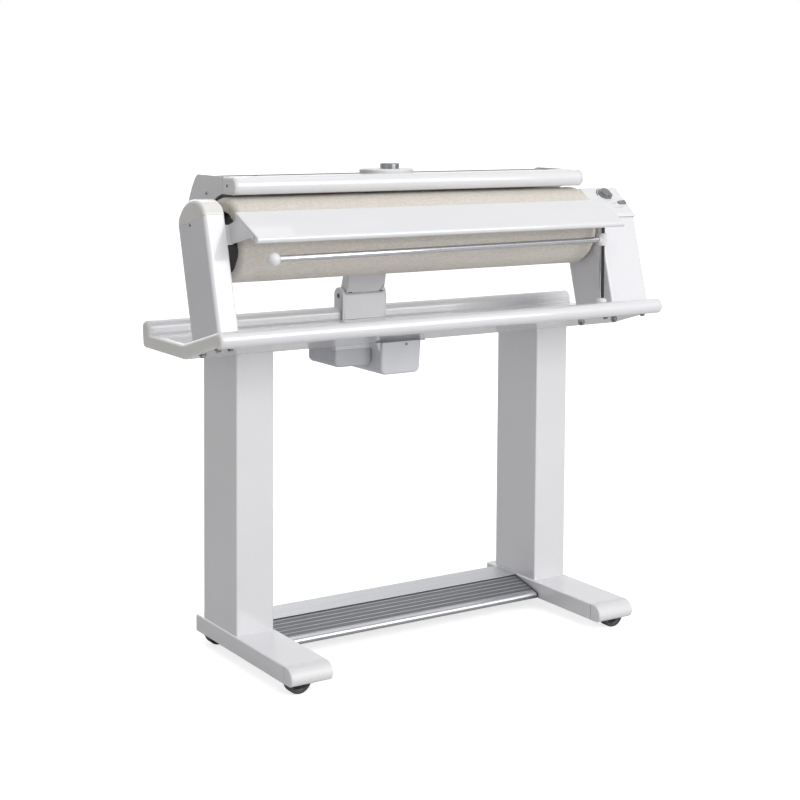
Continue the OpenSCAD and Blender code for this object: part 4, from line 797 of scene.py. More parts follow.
@dataclass
class Stand(SubAssembly):
    """Two columns on two feet with castor rolls, the cross beam and the foot pedal."""

    stand_x: float = 354.3
    column: Point = (80.0, 140.0)
    column_y: float = 96.5
    foot_w: float = 87.0
    foot_z: Point = (21.7, 55.7)
    foot_y: Point = (-195.0, 195.0)
    cap_y: float = -165.0
    cap_r: Point = (12.0, 22.0)
    roll: Point3 = (367.3, 161.0, 25.0)
    beam_x: float = 310.8
    hinge: Point = (87.1, 48.4)
    nose: Point = (11.8, 29.4)
    nose_r: float = 6.8
    ridges: int = 6
    pedal_x: Point = (-309.8, 305.8)
    deck_rise: float = 6.5

    def build(self) -> None:
        """Builds the stand's visible pieces."""
        mid = (self.foot_z[0] + self.foot_z[1]) / 2
        half = (self.foot_z[1] - self.foot_z[0]) / 2
        for side, word in ((-1, "left"), (1, "right")):
            x = side * self.stand_x
            tube = prism(f"Column-{word}", rounded(self.column[0] / 2, self.column[1] / 2, 3.0, (x, self.column_y)),
                         Axis.Z, self.foot_z[1], self.datum.under_z, (0.0, 0.0))
            self.place(tube, Body.FRAME, Palette.WHITE, f"column_{word}")
            beam = prism(f"Foot-{word}", rounded(self.foot_w / 2, half, 3.0, (x, mid)), Axis.Y, self.cap_y,
                         self.foot_y[1] - 4, (0.3, 0.3), rim=0.0)
            self.place(beam, Body.FRAME, Palette.GLOSS, f"foot_{word}")
        self.caps(mid, half)
        self.dress(Palette.DARK_GREY, "wheel_blocks")
        self.dress(Palette.ZINC, "wheel_axles", "pedal_pin")
        self.dress(Palette.BLACK, "pedal_switch", "pedal_buffers")
        self.castors()
        self.beam()
        self.pedal()

    def caps(self, mid: float, half: float) -> None:
        """Builds the round front caps and flat rear caps of the feet.

        Args:
            mid: Height of the feet's middle.
            half: Half the feet's height.
        """
        low, high = self.foot_z
        small, large = self.cap_r
        y0, seam = self.foot_y[0], self.cap_y - 0.4
        shape = ([(seam, low)] + arc((y0 + small, low + small), small - 0.3, 270, 180, 8)
                 + arc((y0 + large, high - large), large, 180, 90, 16) + [(seam, high)])
        front = [prism("cap", shape, Axis.X, s * self.stand_x - self.foot_w / 2,
                       s * self.stand_x + self.foot_w / 2, (2.6, 2.6), rim=SEAM) for s in (-1, 1)]
        self.place(join("Foot-front-caps", front), Body.FRAME, Palette.WHITE_PLASTIC, "foot_front_caps")
        rear = [prism("cap", rounded(self.foot_w / 2, half, 3.0, (s * self.stand_x, mid)), Axis.Y,
                      self.foot_y[1] - 3.7, self.foot_y[1], (SEAM, 3.4), rim=0.0) for s in (-1, 1)]
        self.place(join("Foot-rear-caps", rear), Body.FRAME, Palette.WHITE_PLASTIC, "foot_rear_caps")

    def castors(self) -> None:
        """Builds each castor roll as a tread on a dished hub disc."""
        for body, sx, sy in ((Body.ROLL_FRONT_LEFT, -1, -1), (Body.ROLL_FRONT_RIGHT, 1, -1),
                             (Body.ROLL_REAR_LEFT, -1, 1), (Body.ROLL_REAR_RIGHT, 1, 1)):
            at = (sx * self.roll[0], sy * self.roll[1], self.roll[2])
            node = "wheel_" + body.value.replace("roll_", "")
            tread = lathe(f"Tread-{body.value}", [(19.2, -9.6), (20.0, -10), (23.4, -10), (24.6, -9.2), (25, -8),
                          (25, 8), (24.6, 9.2), (23.4, 10), (20.0, 10), (19.2, 9.6), (19.2, -9.6)], at,
                          Vector((0, 1, 0)), 72)
            self.place(tread, body, Palette.RUBBER, node)
            hub = lathe(f"Hub-{body.value}", [(4.1, -10), (7.2, -10), (8.0, -9.4), (8.4, -7.6), (16.5, -7.0),
                        (18.0, -7.8), (19.2, -8.4), (19.2, 8.4), (18.0, 7.8), (16.5, 7.0), (8.4, 7.6), (8.0, 9.4),
                        (7.2, 10), (4.1, 10), (4.1, -10)], at, Vector((0, 1, 0)), 72)
            self.place(hub, body, Palette.BLACK)

    def beam(self) -> None:
        """Builds the folded cross beam behind the pedal."""
        shape = [(93.2, 27.0), (93.2, 54.5), (84.0, 54.5), (84.0, 56.5), (150.0, 56.5), (153.5, 56.2), (192.0, 44.2),
                 (192.0, 27.0)]
        self.place(prism("Cross-beam", shape, Axis.X, -self.beam_x, self.beam_x, (0.3, 0.3), rim=0.8), Body.FRAME,
                   Palette.BEAM, "cross_beam")

    def on_pedal(self, run: float, rise: float) -> Point:
        """Returns the (y, z) of a point given from the hinge along the pedal and square to it."""
        along = (Vector(self.nose) - Vector(self.hinge)).normalized()
        up = Vector((along.y, -along.x))
        spot = Vector(self.hinge) + along * run + up * rise
        return spot.x, spot.y

    def pedal(self) -> None:
        """Builds the pedal's profile, its ridges with a painted highlight and its nose, with a dark closing piece at
        the right.
        """
        length = (Vector(self.nose) - Vector(self.hinge)).length
        tilt = math.degrees(math.atan2(self.hinge[0] - self.nose[0], self.nose[1] - self.hinge[1]))
        x0, x1 = self.pedal_x
        grow = (self.nose_r - self.deck_rise) / length
        run_up = length - 7.5
        level = [self.deck_rise + grow * run for run in (3.3, run_up)]
        body = [self.on_pedal(3.3, level[0] - 0.6), self.on_pedal(run_up, level[1] - 0.6),
                self.on_pedal(run_up, -3.7), self.on_pedal(5.5, 0.76), self.on_pedal(-2.0, -4.9),
                self.on_pedal(-5.2, -1.5), self.on_pedal(-5.0, 2.4), self.on_pedal(-1.5, 5.3)]
        self.place(prism("Pedal", body, Axis.X, x0, x1, (0.3, 0.3)), Body.PEDAL, Palette.DARK_ALUMINIUM, "pedal")
        bars = []
        for i in range(self.ridges):
            run = 7.7 + i * (length - 16.5) / (self.ridges - 1)
            rise = self.deck_rise + grow * run - 0.7
            bar = [self.on_pedal(run + a, rise + b) for a, b in
                   ((-0.5, 0), (-0.4, 0.7), (-0.2, 0.9), (0.2, 0.9), (0.4, 0.7), (0.5, 0))]
            bars.append(prism("ridge", bar, Axis.X, x0 + 0.2, x1 - 0.2, (0.1, 0.1), rim=0.0))
        # Paler aluminium on the ridges: painted highlight along their tops
        self.place(join("Pedal-ridges", bars), Body.PEDAL, Palette.RIDGE_HIGHLIGHT)
        front = [self.on_pedal(run_up + 0.1, level[1] - 0.4)] + arc(self.nose, self.nose_r, tilt + 8, tilt + 200, 20)
        front += [self.on_pedal(run_up + 0.1, -3.7)]
        nose = prism("Pedal-nose", front, Axis.X, x0 + 0.2, x1 - 0.2, (0.8, 0.8), rim=0.4)
        self.place(nose, Body.PEDAL, Palette.ALUMINIUM)
        side = [self.on_pedal(3.3, level[0] + 0.6), self.on_pedal(run_up, level[1] + 0.6)]
        side += arc(self.nose, self.nose_r, tilt, tilt + 200, 16)
        side += [self.on_pedal(run_up, -3.9), self.on_pedal(5.5, 0.5), self.on_pedal(-2.0, -5.0),
                 self.on_pedal(-5.3, -1.5), self.on_pedal(-5.1, 2.5), self.on_pedal(-1.5, 5.5)]
        self.place(prism("Pedal-end", side, Axis.X, x1 + 0.1, -x0, (0.2, 2.2), rim=0.3), Body.PEDAL,
                   Palette.DARK_GREY)


# housings


@dataclass
class Housings(SubAssembly):
    """The leaning left and right housings, the control panel and its knob and switch."""

    mid: float = 65.0
    left_x: Point = (-497.0, -456.0)
    left_half: float = 56.5
    left_seam: float = 216.0
    top: float = 255.0
    shoulder: float = 27.0
    right_x: Point = (404.5, 501.8)
    right_half: float = 60.5
    right_seam: float = 179.0
    panel_top: Point = (80.5, 252.5)
    lip: Point = (4.5, 6.0)
    dial_turn: float = -55.0
    dial: Point = (52.0, 22.0)
    lobe_reach: float = 10.4
    ticks: tuple[Point, ...] = ((57.0, 50.5), (63.0, 50.5), (58.0, 63.0), (66.0, 63.0), (70.5, 63.0),
                                (75.0, 63.0))

    def leaning(self, points: list[Point]) -> list[Point]:
        """Turns points given along and square to the wing into (y, z)."""
        return [self.datum.on_wing(a, n) for a, n in points]

    def build(self) -> None:
        """Builds both housings."""
        self.left()
        self.right()
        self.controls()
        self.dress(Palette.STEEL, "roller_bearings", "roller_gear", "motor_pinion", bevel=0.3)
        self.dress(Palette.ZINC, "gear_motor", bevel=0.8)
        self.dress(Palette.BLACK, "thermostat")

    def left(self) -> None:
        """Builds the left shell, and its cap as three tangent arcs; only a hairline shows where they meet."""
        m, h = self.mid, self.left_half
        shell = [(m - h, 0.2), (m + h, 0.2), (m + h, self.left_seam - 0.3), (m - h, self.left_seam - 0.3)]
        self.place(prism("Left-housing", self.leaning(shell), Axis.X, *self.left_x, (6.0, 3.0), rim=5.0,
                         seams=(0, 2)), Body.FRAME, Palette.GLOSS, "left_housing")
        rise = self.top - self.left_seam
        s = self.shoulder
        crown = ((h - s) ** 2 + rise ** 2 - s ** 2) / (2 * (rise - s))
        turn = math.degrees(math.atan2(crown - rise, h - s))
        cap = arc((m + h - s, self.left_seam), s, 0, turn, 10)
        cap += arc((m, self.left_seam + rise - crown), crown, turn, 180 - turn, 20)[1:-1]
        cap += arc((m - h + s, self.left_seam), s, 180 - turn, 180, 10)
        self.place(prism("Left-housing-cap", self.leaning(cap), Axis.X, *self.left_x, (6.0, 3.0), rim=0.5,
                         seams=(len(cap) - 1,)), Body.FRAME, Palette.BEIGE, "left_housing_cap")

    def right(self) -> None:
        """Builds the right shell and the sloping control panel over it."""
        m, h = self.mid, self.right_half
        shell = [(m - h, 0.2), (m + h, 0.2), (m + h, self.right_seam - 0.3), (m - h, self.right_seam - 0.3)]
        self.place(prism("Right-housing", self.leaning(shell), Axis.X, *self.right_x, (4.0, 6.0), rim=5.0,
                         seams=(0, 2)), Body.FRAME, Palette.GLOSS, "right_housing")
        back, front = m - h, m + h + self.lip[0]
        panel = [(back, self.right_seam), (front, self.right_seam), (front, self.right_seam + self.lip[1]),
                 self.panel_top]
        panel += arc((back + self.shoulder, self.panel_top[1] - self.shoulder), self.shoulder, 90, 180, 12)
        self.place(prism("Control-panel", self.leaning(panel), Axis.X, *self.right_x, (3.0, 4.0), rim=2.6,
                         seams=(0,)), Body.FRAME, Palette.WHITE_PLASTIC, "control_panel")

    def on_panel(self, inward: float, down: float) -> tuple[Point3, Vector]:
        """Returns a point on the control panel, and the panel's outward normal.

        Args:
            inward: Distance from the housing's inner face.
            down: Distance down from the panel's top edge.

        Returns:
            The point in millimetres and the normal.
        """
        low = (self.mid + self.right_half + self.lip[0], self.right_seam + self.lip[1])
        slope = math.atan2(self.panel_top[1] - low[1], low[0] - self.panel_top[0])
        y, z = self.datum.on_wing(self.panel_top[0] + down * math.cos(slope),
                                  self.panel_top[1] - down * math.sin(slope))
        tilt = slope - math.radians(self.datum.wing_angle)
        return (self.right_x[0] + inward, y, z), Vector((0, -math.sin(tilt), math.cos(tilt)))

    def polar(self, at: Point3, normal: Vector, angle: float, reach: float) -> Vector:
        """Returns a point round a centre on the panel.

        Args:
            at: The centre.
            normal: The panel's normal.
            angle: Angle in degrees from the panel's right, towards its top edge.
            reach: Distance from the centre.

        Returns:
            The point in millimetres.
        """
        side = Vector((1, 0, 0))
        upward = normal.cross(side)
        a = math.radians(angle)
        return Vector(at) + (side * math.cos(a) + upward * math.sin(a)) * reach

    def controls(self) -> None:
        """Builds the temperature knob with its round grip lobe, the dial marks and the switch."""
        at, normal = self.on_panel(*self.dial)
        knob = lathe("grip", [(0, 0.3), (14.2, 0.3), (15.0, 1.0), (14.6, 2.6), (12.4, 3.4), (11.6, 4.6),
                     (11.0, 8.4), (10.2, 9.1), (0, 9.3)], at, normal, 72)
        spot = self.polar(at, normal, self.dial_turn, self.lobe_reach)
        lobe = lathe("lobe", [(0, 1.0), (6.4, 1.0), (6.6, 2.0), (5.6, 8.0), (4.8, 9.6), (0, 9.8)], tuple(spot),
                     normal, 40)
        self.place(join("Temperature-knob", [knob, lobe]), Body.TEMPERATURE_KNOB, Palette.GREY, "temperature_knob")
        self.marks(at, normal)
        self.dress(Palette.GREY, "rocker_switch", bevel=0.5)

    def marks(self, at: Point3, normal: Vector) -> None:
        """Prints the dial's growing wedge and a few plain ticks by the switch, as thin raised ink.

        Args:
            at: Centre of the knob.
            normal: The panel's normal.
        """
        bm = bmesh.new()
        lift = normal * 0.15
        steps = 24
        for i in range(steps):
            ring = []
            for k, outer in ((i, 0), (i + 1, 0), (i + 1, 1), (i, 1)):
                share = k / steps
                reach = 17.0 + outer * (0.8 + 2.2 * share)
                ring.append(self.polar(at, normal, 100 + 88 * share, reach) + lift)
            bm.faces.new([bm.verts.new(p * MM) for p in ring])
        for inward, down in self.ticks:
            centre, _ = self.on_panel(inward, down)
            ring = [self.polar(centre, normal, a, 1.7) + lift for a in (20, 160, 200, 340)]
            bm.faces.new([bm.verts.new(p * MM) for p in ring])
        self.place(finish_mesh(bm, "Dial-marks"), Body.FRAME, Palette.DARK_GREY)


# roller


@dataclass
class Roller(SubAssembly):
    """The padded roller: wound padding in a cotton cloth that is gathered over both ends."""

    edge_r: float = 11.0
    lap_r: float = 54.0
    steps: int = 240
    rings: int = 110

    def build(self) -> None:
        """Builds the cloth and dresses the core and shaft."""
        self.cloth()
        self.dress(Palette.BLACK, "roller_core", bevel=0.6)
        self.dress(Palette.STEEL, "roller_shaft", bevel=0.8)

    def profile(self) -> list[tuple[float, float, float]]:
        """Returns (x, radius, gather) along the cloth, from inside the left lap to inside the right lap."""
        x0, x1 = self.datum.roller_x
        r, e = self.datum.roller_r, self.edge_r
        left = [(x0 + 4.0, self.lap_r, 1.0), (x0 + 1.2, self.lap_r + 1.2, 1.0), (x0 + 0.5, self.lap_r + 4.5, 0.95)]
        left.append((x0 + 0.3, (self.lap_r + r - e) / 2 + 2, 0.9))
        for i in range(10):
            a = math.radians(180 - i * 90 / 9)
            left.append((x0 + e + (e - 0.2) * math.cos(a), r - e + e * math.sin(a), 0.85 - 0.04 * i))
        left += [(x0 + e + d, r, 0.45 * math.exp(-d / 11)) for d in (3.0, 6.0, 9.5, 13.5, 18.0, 23.0, 29.0)]
        start, end = left[-1][0] + 6, x0 + x1 - left[-1][0] - 6
        middle = [(start + (end - start) * i / self.rings, r, 0.0) for i in range(self.rings + 1)]
        right = [(x0 + x1 - x, rad, g) for x, rad, g in reversed(left)]
        return left + middle + right

    def cloth(self) -> None:
        """Builds the cloth with slack ripples round it, irregular folds where it is gathered, and a lap cut back
        below to bare the black end as painted shade.
        """
        bm = bmesh.new()
        y0, z0 = self.datum.roller
        face_r = self.datum.roller_r - 2.0
        rows = []
        for x, radius, gather in self.profile():
            row = []
            for i in range(self.steps):
                a = 2 * math.pi * i / self.steps
                c, s = math.cos(a), math.sin(a)
                slack = noise.noise(Vector((x / 90, c * 1.6, s * 1.6))) * 0.28
                slack += noise.noise(Vector((x / 14, c * 5, s * 5))) * 0.12
                warp = a + 0.09 * noise.noise(Vector((c * 3.0, s * 3.0, x / 40)))
                fold = math.sin(warp * 31 + 2.6 * math.sin(warp * 4) + 1.4 * math.sin(warp * 7))
                # Painted shade: the cloth reaches further in over the upper half, and below it stops near the rim and
                # bares the black end, standing for the housing's shadow there
                low = max(0.0, min(1.0, (0.1 - s) / 0.5)) * 0.85
                rim = self.datum.roller_r - self.edge_r
                around = radius if radius > rim else rim - (rim - radius) * (1 - low)
                depth = 0.7 + 0.9 * noise.noise(Vector((c * 4, s * 4, 3.1)))
                crease = noise.noise(Vector((c * 11, s * 11, x / 9 + 7.0))) * 1.3
                pleat = (-abs(fold) * 1.9 * depth + crease) * gather
                edge = 1.0 if radius < face_r else 0.8
                reach = around + min(slack, 0.15) - 0.2 + min(pleat * edge, 0.1 if radius > face_r else 1.2)
                shift = min(0.5 + 1.6 * noise.noise(Vector((c * 5, s * 5, 1.7))), 1.2) * gather
                at = x + max(shift, 0.0) * (1 if x < 0 else -1)
                row.append(bm.verts.new(Vector((at, y0 + reach * c, z0 + reach * s)) * MM))
            rows.append(row)
        for first, second in zip(rows, rows[1:]):
            for i in range(self.steps):
                j = (i + 1) % self.steps
                bm.faces.new((first[i], first[j], second[j], second[i]))
        cloth = finish_mesh(bm, "Roller-cloth", angle=70.0)
        shell = cloth.modifiers.new("cloth thickness", "SOLIDIFY")
        shell.thickness = 1.0 * MM
        shell.offset = -1.0
        self.place(cloth, Body.ROLLER, Palette.CLOTH, "roller_padding")


# shoe


@dataclass
class Shoe(SubAssembly):
    """The heated shoe with its cover, finger guard and the disc and knob on top."""

    guard_y: Point = (-32.2, 19.8)
    guard_z: Point = (897.0, 930.0)
    guard_x: Point = (-426.5, 387.5)
    cap: float = 6.0
    lugs: Point3 = (-360.12, -19.5, 321.12)
    disc: Point3 = (-33.8, 73.54, 926.5)
    disc_half: Point = (56.0, 41.0)
    knob: Point3 = (-33.8, 62.06, 936.5)
    knob_r: float = 19.0
    strip_y: Point = (21.2, 116.0)
    plate_screw: Point3 = (-425.0, 89.1, 896.0)

    def build(self) -> None:
        """Builds the guard and top fittings and dresses the shoe."""
        self.guard()
        self.top()
        self.dress(Palette.WHITE, "shoe_cover", "shoe_plates", bevel=0.8)
        self.dress(Palette.SHOE_METAL, "heater_shoe", bevel=0.4)
        self.dress(Palette.STEEL, "heating_elements")
        self.dress(Palette.ZINC, "guard_pin", "guard_screws")

    def section(self, inset: float = 0.0) -> list[Point]:
        """Returns the guard's outline: a half-round front and a flat back.

        Args:
            inset: Distance inside the outer surface.

        Returns:
            The (y, z) outline.
        """
        r = (self.guard_z[1] - self.guard_z[0]) / 2 - inset
        centre = (self.guard_y[0] + r + inset, (self.guard_z[0] + self.guard_z[1]) / 2)
        back = self.guard_y[1] - inset
        return arc(centre, r, 90, 270, 28) + [(back, centre[1] - r), (back, centre[1] + r)]

    def guard(self) -> None:
        """Builds the guard's profile between its two moulded end caps."""
        x0, x1 = self.guard_x
        bar = prism("Finger-guard", self.section(), Axis.X, x0 + self.cap + 0.1, x1 - self.cap - 0.1, (0.7, 0.7),
                    rim=0.8, cuts=2)
        # Slots at the back clear the cover's hinge lugs
        cut(bar, *(((x - 6.6, 10.6, 913.5), (x + 6.6, 40.0, 940.0)) for x in self.lugs))
        self.place(bar, Body.GUARD, Palette.WHITE, "finger_guard")
        ends = [prism("end", self.section(-0.2), Axis.X, x0, x0 + self.cap - 0.1, (4.0, 0.9), rim=0.6),
                prism("end", self.section(-0.2), Axis.X, x1 - self.cap + 0.1, x1, (0.9, 4.0), rim=0.6)]
        self.place(join("Guard-end-caps", ends), Body.GUARD, Palette.WHITE_PLASTIC, "guard_caps")

    def top(self) -> None:
        """Builds the oval disc and the turned pressure knob."""
        x, y, z = self.disc
        base = prism("Top-disc", rounded(*self.disc_half, self.disc_half[1] - 1, (x, y), 16), Axis.Z, z + 0.1,
                     z + 10, (0.4, 2.4))
        self.place(base, Body.SHOE, Palette.WHITE_PLASTIC, "top_disc")
        r = self.knob_r
        knob = lathe("Pressure-knob", [(0, 0.05), (r - 0.6, 0.05), (r - 0.1, 0.5), (r - 0.1, 2.6), (r - 0.5, 2.9),
                     (r - 0.5, 3.3), (r, 3.6), (r, 9.9), (r - 0.8, 10.9), (r - 4.0, 11.0), (r - 4.6, 10.5),
                     (0, 9.9)], self.knob, Vector((0, 0, 1)), 96)
        self.place(knob, Body.PRESSURE_KNOB, Palette.TURNED_ALUMINIUM, "pressure_knob")
        # The grey top strip lies between the white end plates
        x0, x1 = self.datum.shoe_x
        low, high = self.strip_y
        strip = prism("Cover-strip", [(low, z), (high, z), (high, z + 0.5), (low, z + 0.5)], Axis.X, x0 + 3.2,
                      x1 - 3.2, (0.1, 0.1))
        self.place(strip, Body.SHOE, Palette.GREY_TOP)
        screw = lathe("Plate-screw", [(0, -0.2), (3.6, -0.2), (3.6, 0.7), (2.6, 1.6), (1.2, 2.0), (0, 2.0)],
                      self.plate_screw, Vector((-1, 0, 0)), 40)
        self.place(screw, Body.SHOE, Palette.ZINC)


# arm and drive


@dataclass
class Drive(SubAssembly):
    """The arm that carries the shoe, its bracket, and the drive housing under the tray."""

    arm_w: float = 88.0
    arm_low: Point = (150.6, 680.1)
    arm_high: Point = (125.1, 788.5)
    corner: Point = (10.0, 15.7)
    bracket_w: float = 105.0
    bracket_y: Point = (153.5, 189.5)
    bracket_top: float = 678.6
    ear_t: float = 7.5
    ear_r: float = 18.0
    left_lobe: Point3 = (-173.0, -87.2, 549.0)
    left_y: Point = (38.8, 142.8)
    right_lobe: Point3 = (-87.2, 7.0, 532.0)
    right_y: Point = (3.8, 192.5)
    lobe_r: float = 12.0
    flange: float = 12.0

    def build(self) -> None:
        """Builds the bracket and the housing's moulding, and dresses the arm and the drive's inner pieces."""
        self.dress(Palette.WHITE, "shoe_arm", bevel=1.2)
        self.seams()
        self.bracket()
        self.moulding()
        self.dress(Palette.DARK_GREY, "arm_pin", bevel=0.6)
        self.dress(Palette.ZINC, "lift_motor", bevel=1.0)
        self.dress(Palette.STEEL, "lift_pinion", bevel=0.3)
        self.dress(Palette.BOARD, "control_unit", bevel=0.5)
        self.dress(Palette.BLACK, "inlet_gland", bevel=0.5)

    def seams(self) -> None:
        """Draws painted shade at the arm's lower corners: dark lines along the slanting bends, and black patches for
        the shade inside the relief slots under them.
        """
        way = (Vector(self.arm_high) - Vector(self.arm_low)).normalized()
        out = Vector((-way.y, way.x)) * 0.12
        lines, slots = [], []
        for side in (-1, 1):
            edge = self.datum.arm_x + side * self.arm_w / 2
            for pieces, ends, wide in ((lines, ((0.6, self.corner[1]), (self.corner[0], 1.2)), 0.8),
                                       (slots, ((2.0, 0.9), (self.corner[0] + 1.5, 0.9)), 1.1)):
                bm = bmesh.new()
                ring = []
                for (inward, run), lift in ((ends[0], wide), (ends[1], wide), (ends[1], -wide), (ends[0], -wide)):
                    spot = Vector(self.arm_low) + way * (run + lift * 0.7) + out
                    ring.append(bm.verts.new(Vector((edge - side * (inward + lift * 0.5 * side), *spot)) * MM))
                bm.faces.new(ring)
                pieces.append(finish_mesh(bm, "seam"))
        # Painted shade: dark grey lines stand for the creases of the bends, black patches for the shade inside the
        # relief slots
        self.place(join("Arm-bend-shade", lines), Body.SHOE, Palette.DARK_GREY)
        self.place(join("Arm-slot-shade", slots), Body.SHOE, Palette.BLACK)

    def bracket(self) -> None:
        """Builds the bracket as two round ears joined by a front with soft corners."""
        x, half = self.datum.arm_x, self.bracket_w / 2
        front, back = self.bracket_y
        y, z = self.datum.pivot
        ear = [(front, self.datum.bed_z + 0.2), (back - 13, self.datum.bed_z + 0.2), (back, 640.0), (back, z)]
        ear += arc((y, z), self.ear_r, 0, 180, 20)[1:] + [(front, z)]
        pieces = [prism("ear", ear, Axis.X, x - half, x - half + self.ear_t, (1.4, 1.4), rim=0.4),
                  prism("ear", ear, Axis.X, x + half - self.ear_t, x + half, (1.4, 1.4), rim=0.4)]
        low, top = self.datum.bed_z + 0.2, self.bracket_top
        face = [(x - half, low), (x + half, low)]
        face += arc((x + half - 7, top - 7), 7, 0, 90, 8) + arc((x - half + 7, top - 7), 7, 90, 180, 8)
        plate = prism("front", face, Axis.Y, front - 0.4, front + 5.6, (4.6, 0.3), rim=0.0, seams=(0,))
        # Its back is hollowed for the arm's barrel and toothed sector
        room, sector = half - self.ear_t, self.datum.sector_half
        cut(plate, ((x - room, 156.4, z - 16), (x + room, 170.0, z + 30)),
            ((x - sector, 154.4, 610.0), (x + sector, 170.0, 700.0)))
        pieces.append(plate)
        self.place(join("Arm-bracket", pieces), Body.FRAME, Palette.WHITE, "arm_bracket")
        heads = [lathe("head", [(0, 0.0), (5.4, 0.0), (5.4, 0.2), (4.8, 0.5), (0, 0.5)],
                       (x + side * half, y, z), Vector((side, 0, 0)), 40) for side in (-1, 1)]
        self.place(join("Pin-heads", heads), Body.FRAME, Palette.DARK_GREY)

    def moulding(self) -> None:
        """Builds the drive housing: two lobes with soft moulded edges, a collar and the screwed flange."""
        under, r = self.datum.under_z, self.lobe_r
        lobes = []
        for name, (x0, x1, z0), (y0, y1), draft in (("Drive-lobe", self.left_lobe, self.left_y, 0.0),
                                                    ("lobe", self.right_lobe, self.right_y, 3.0)):
            shape = arc((x0 + r, z0 + r), r, 180, 270, 8) + arc((x1 - draft - r, z0 + r), r, 270, 360, 8)
            shape += [(x1, under - 0.2), (x0, under - 0.2)]
            lobes.append(prism(name, shape, Axis.Y, y0, y1, (5.0, 3.0), rim=0.0, seams=(len(shape) - 2,)))
        (x0, x1, _), (_, x3, _) = self.left_lobe, self.right_lobe
        collar = [(x0 - 2.5, under - self.flange), (x1 + 2.5, under - self.flange), (x1 + 2.5, under - 0.2),
                  (x0 - 2.5, under - 0.2)]
        y0 = self.left_y[0]
        frame_piece = prism("collar", collar, Axis.Y, y0 - 7.5, y0 + 5, (2.0, 0.5), rim=1.5, seams=(2,))
        y0, y1 = self.right_y
        sheet = prism("flange", [(x1, under - 2.6), (x3 + self.flange, under - 2.6), (x3 + self.flange, under - 0.1),
                      (x1, under - 0.1)], Axis.Y, y0 + 5.2, y1, (0.3, 0.6), rim=0.3)
        neck = prism("neck", [(x1 - 9, under - 0.2), (x1 - 3, under - 14), (x1 + 6, under - 26),
                     (x1 + 6, under - 0.2)], Axis.Y, y0 + 4, y1 - 4, (2.0, 2.0), rim=1.5, seams=(3,))
        self.place(join("Drive-housing", [lobes[1], frame_piece, sheet, neck]), Body.FRAME, Palette.PALE_GREY,
                   "drive_housing")
        # The left lobe wears the darker grey copy: painted shade under the collar
        self.place(lobes[0], Body.FRAME, Palette.SHADED_GREY)


# feed board and rail


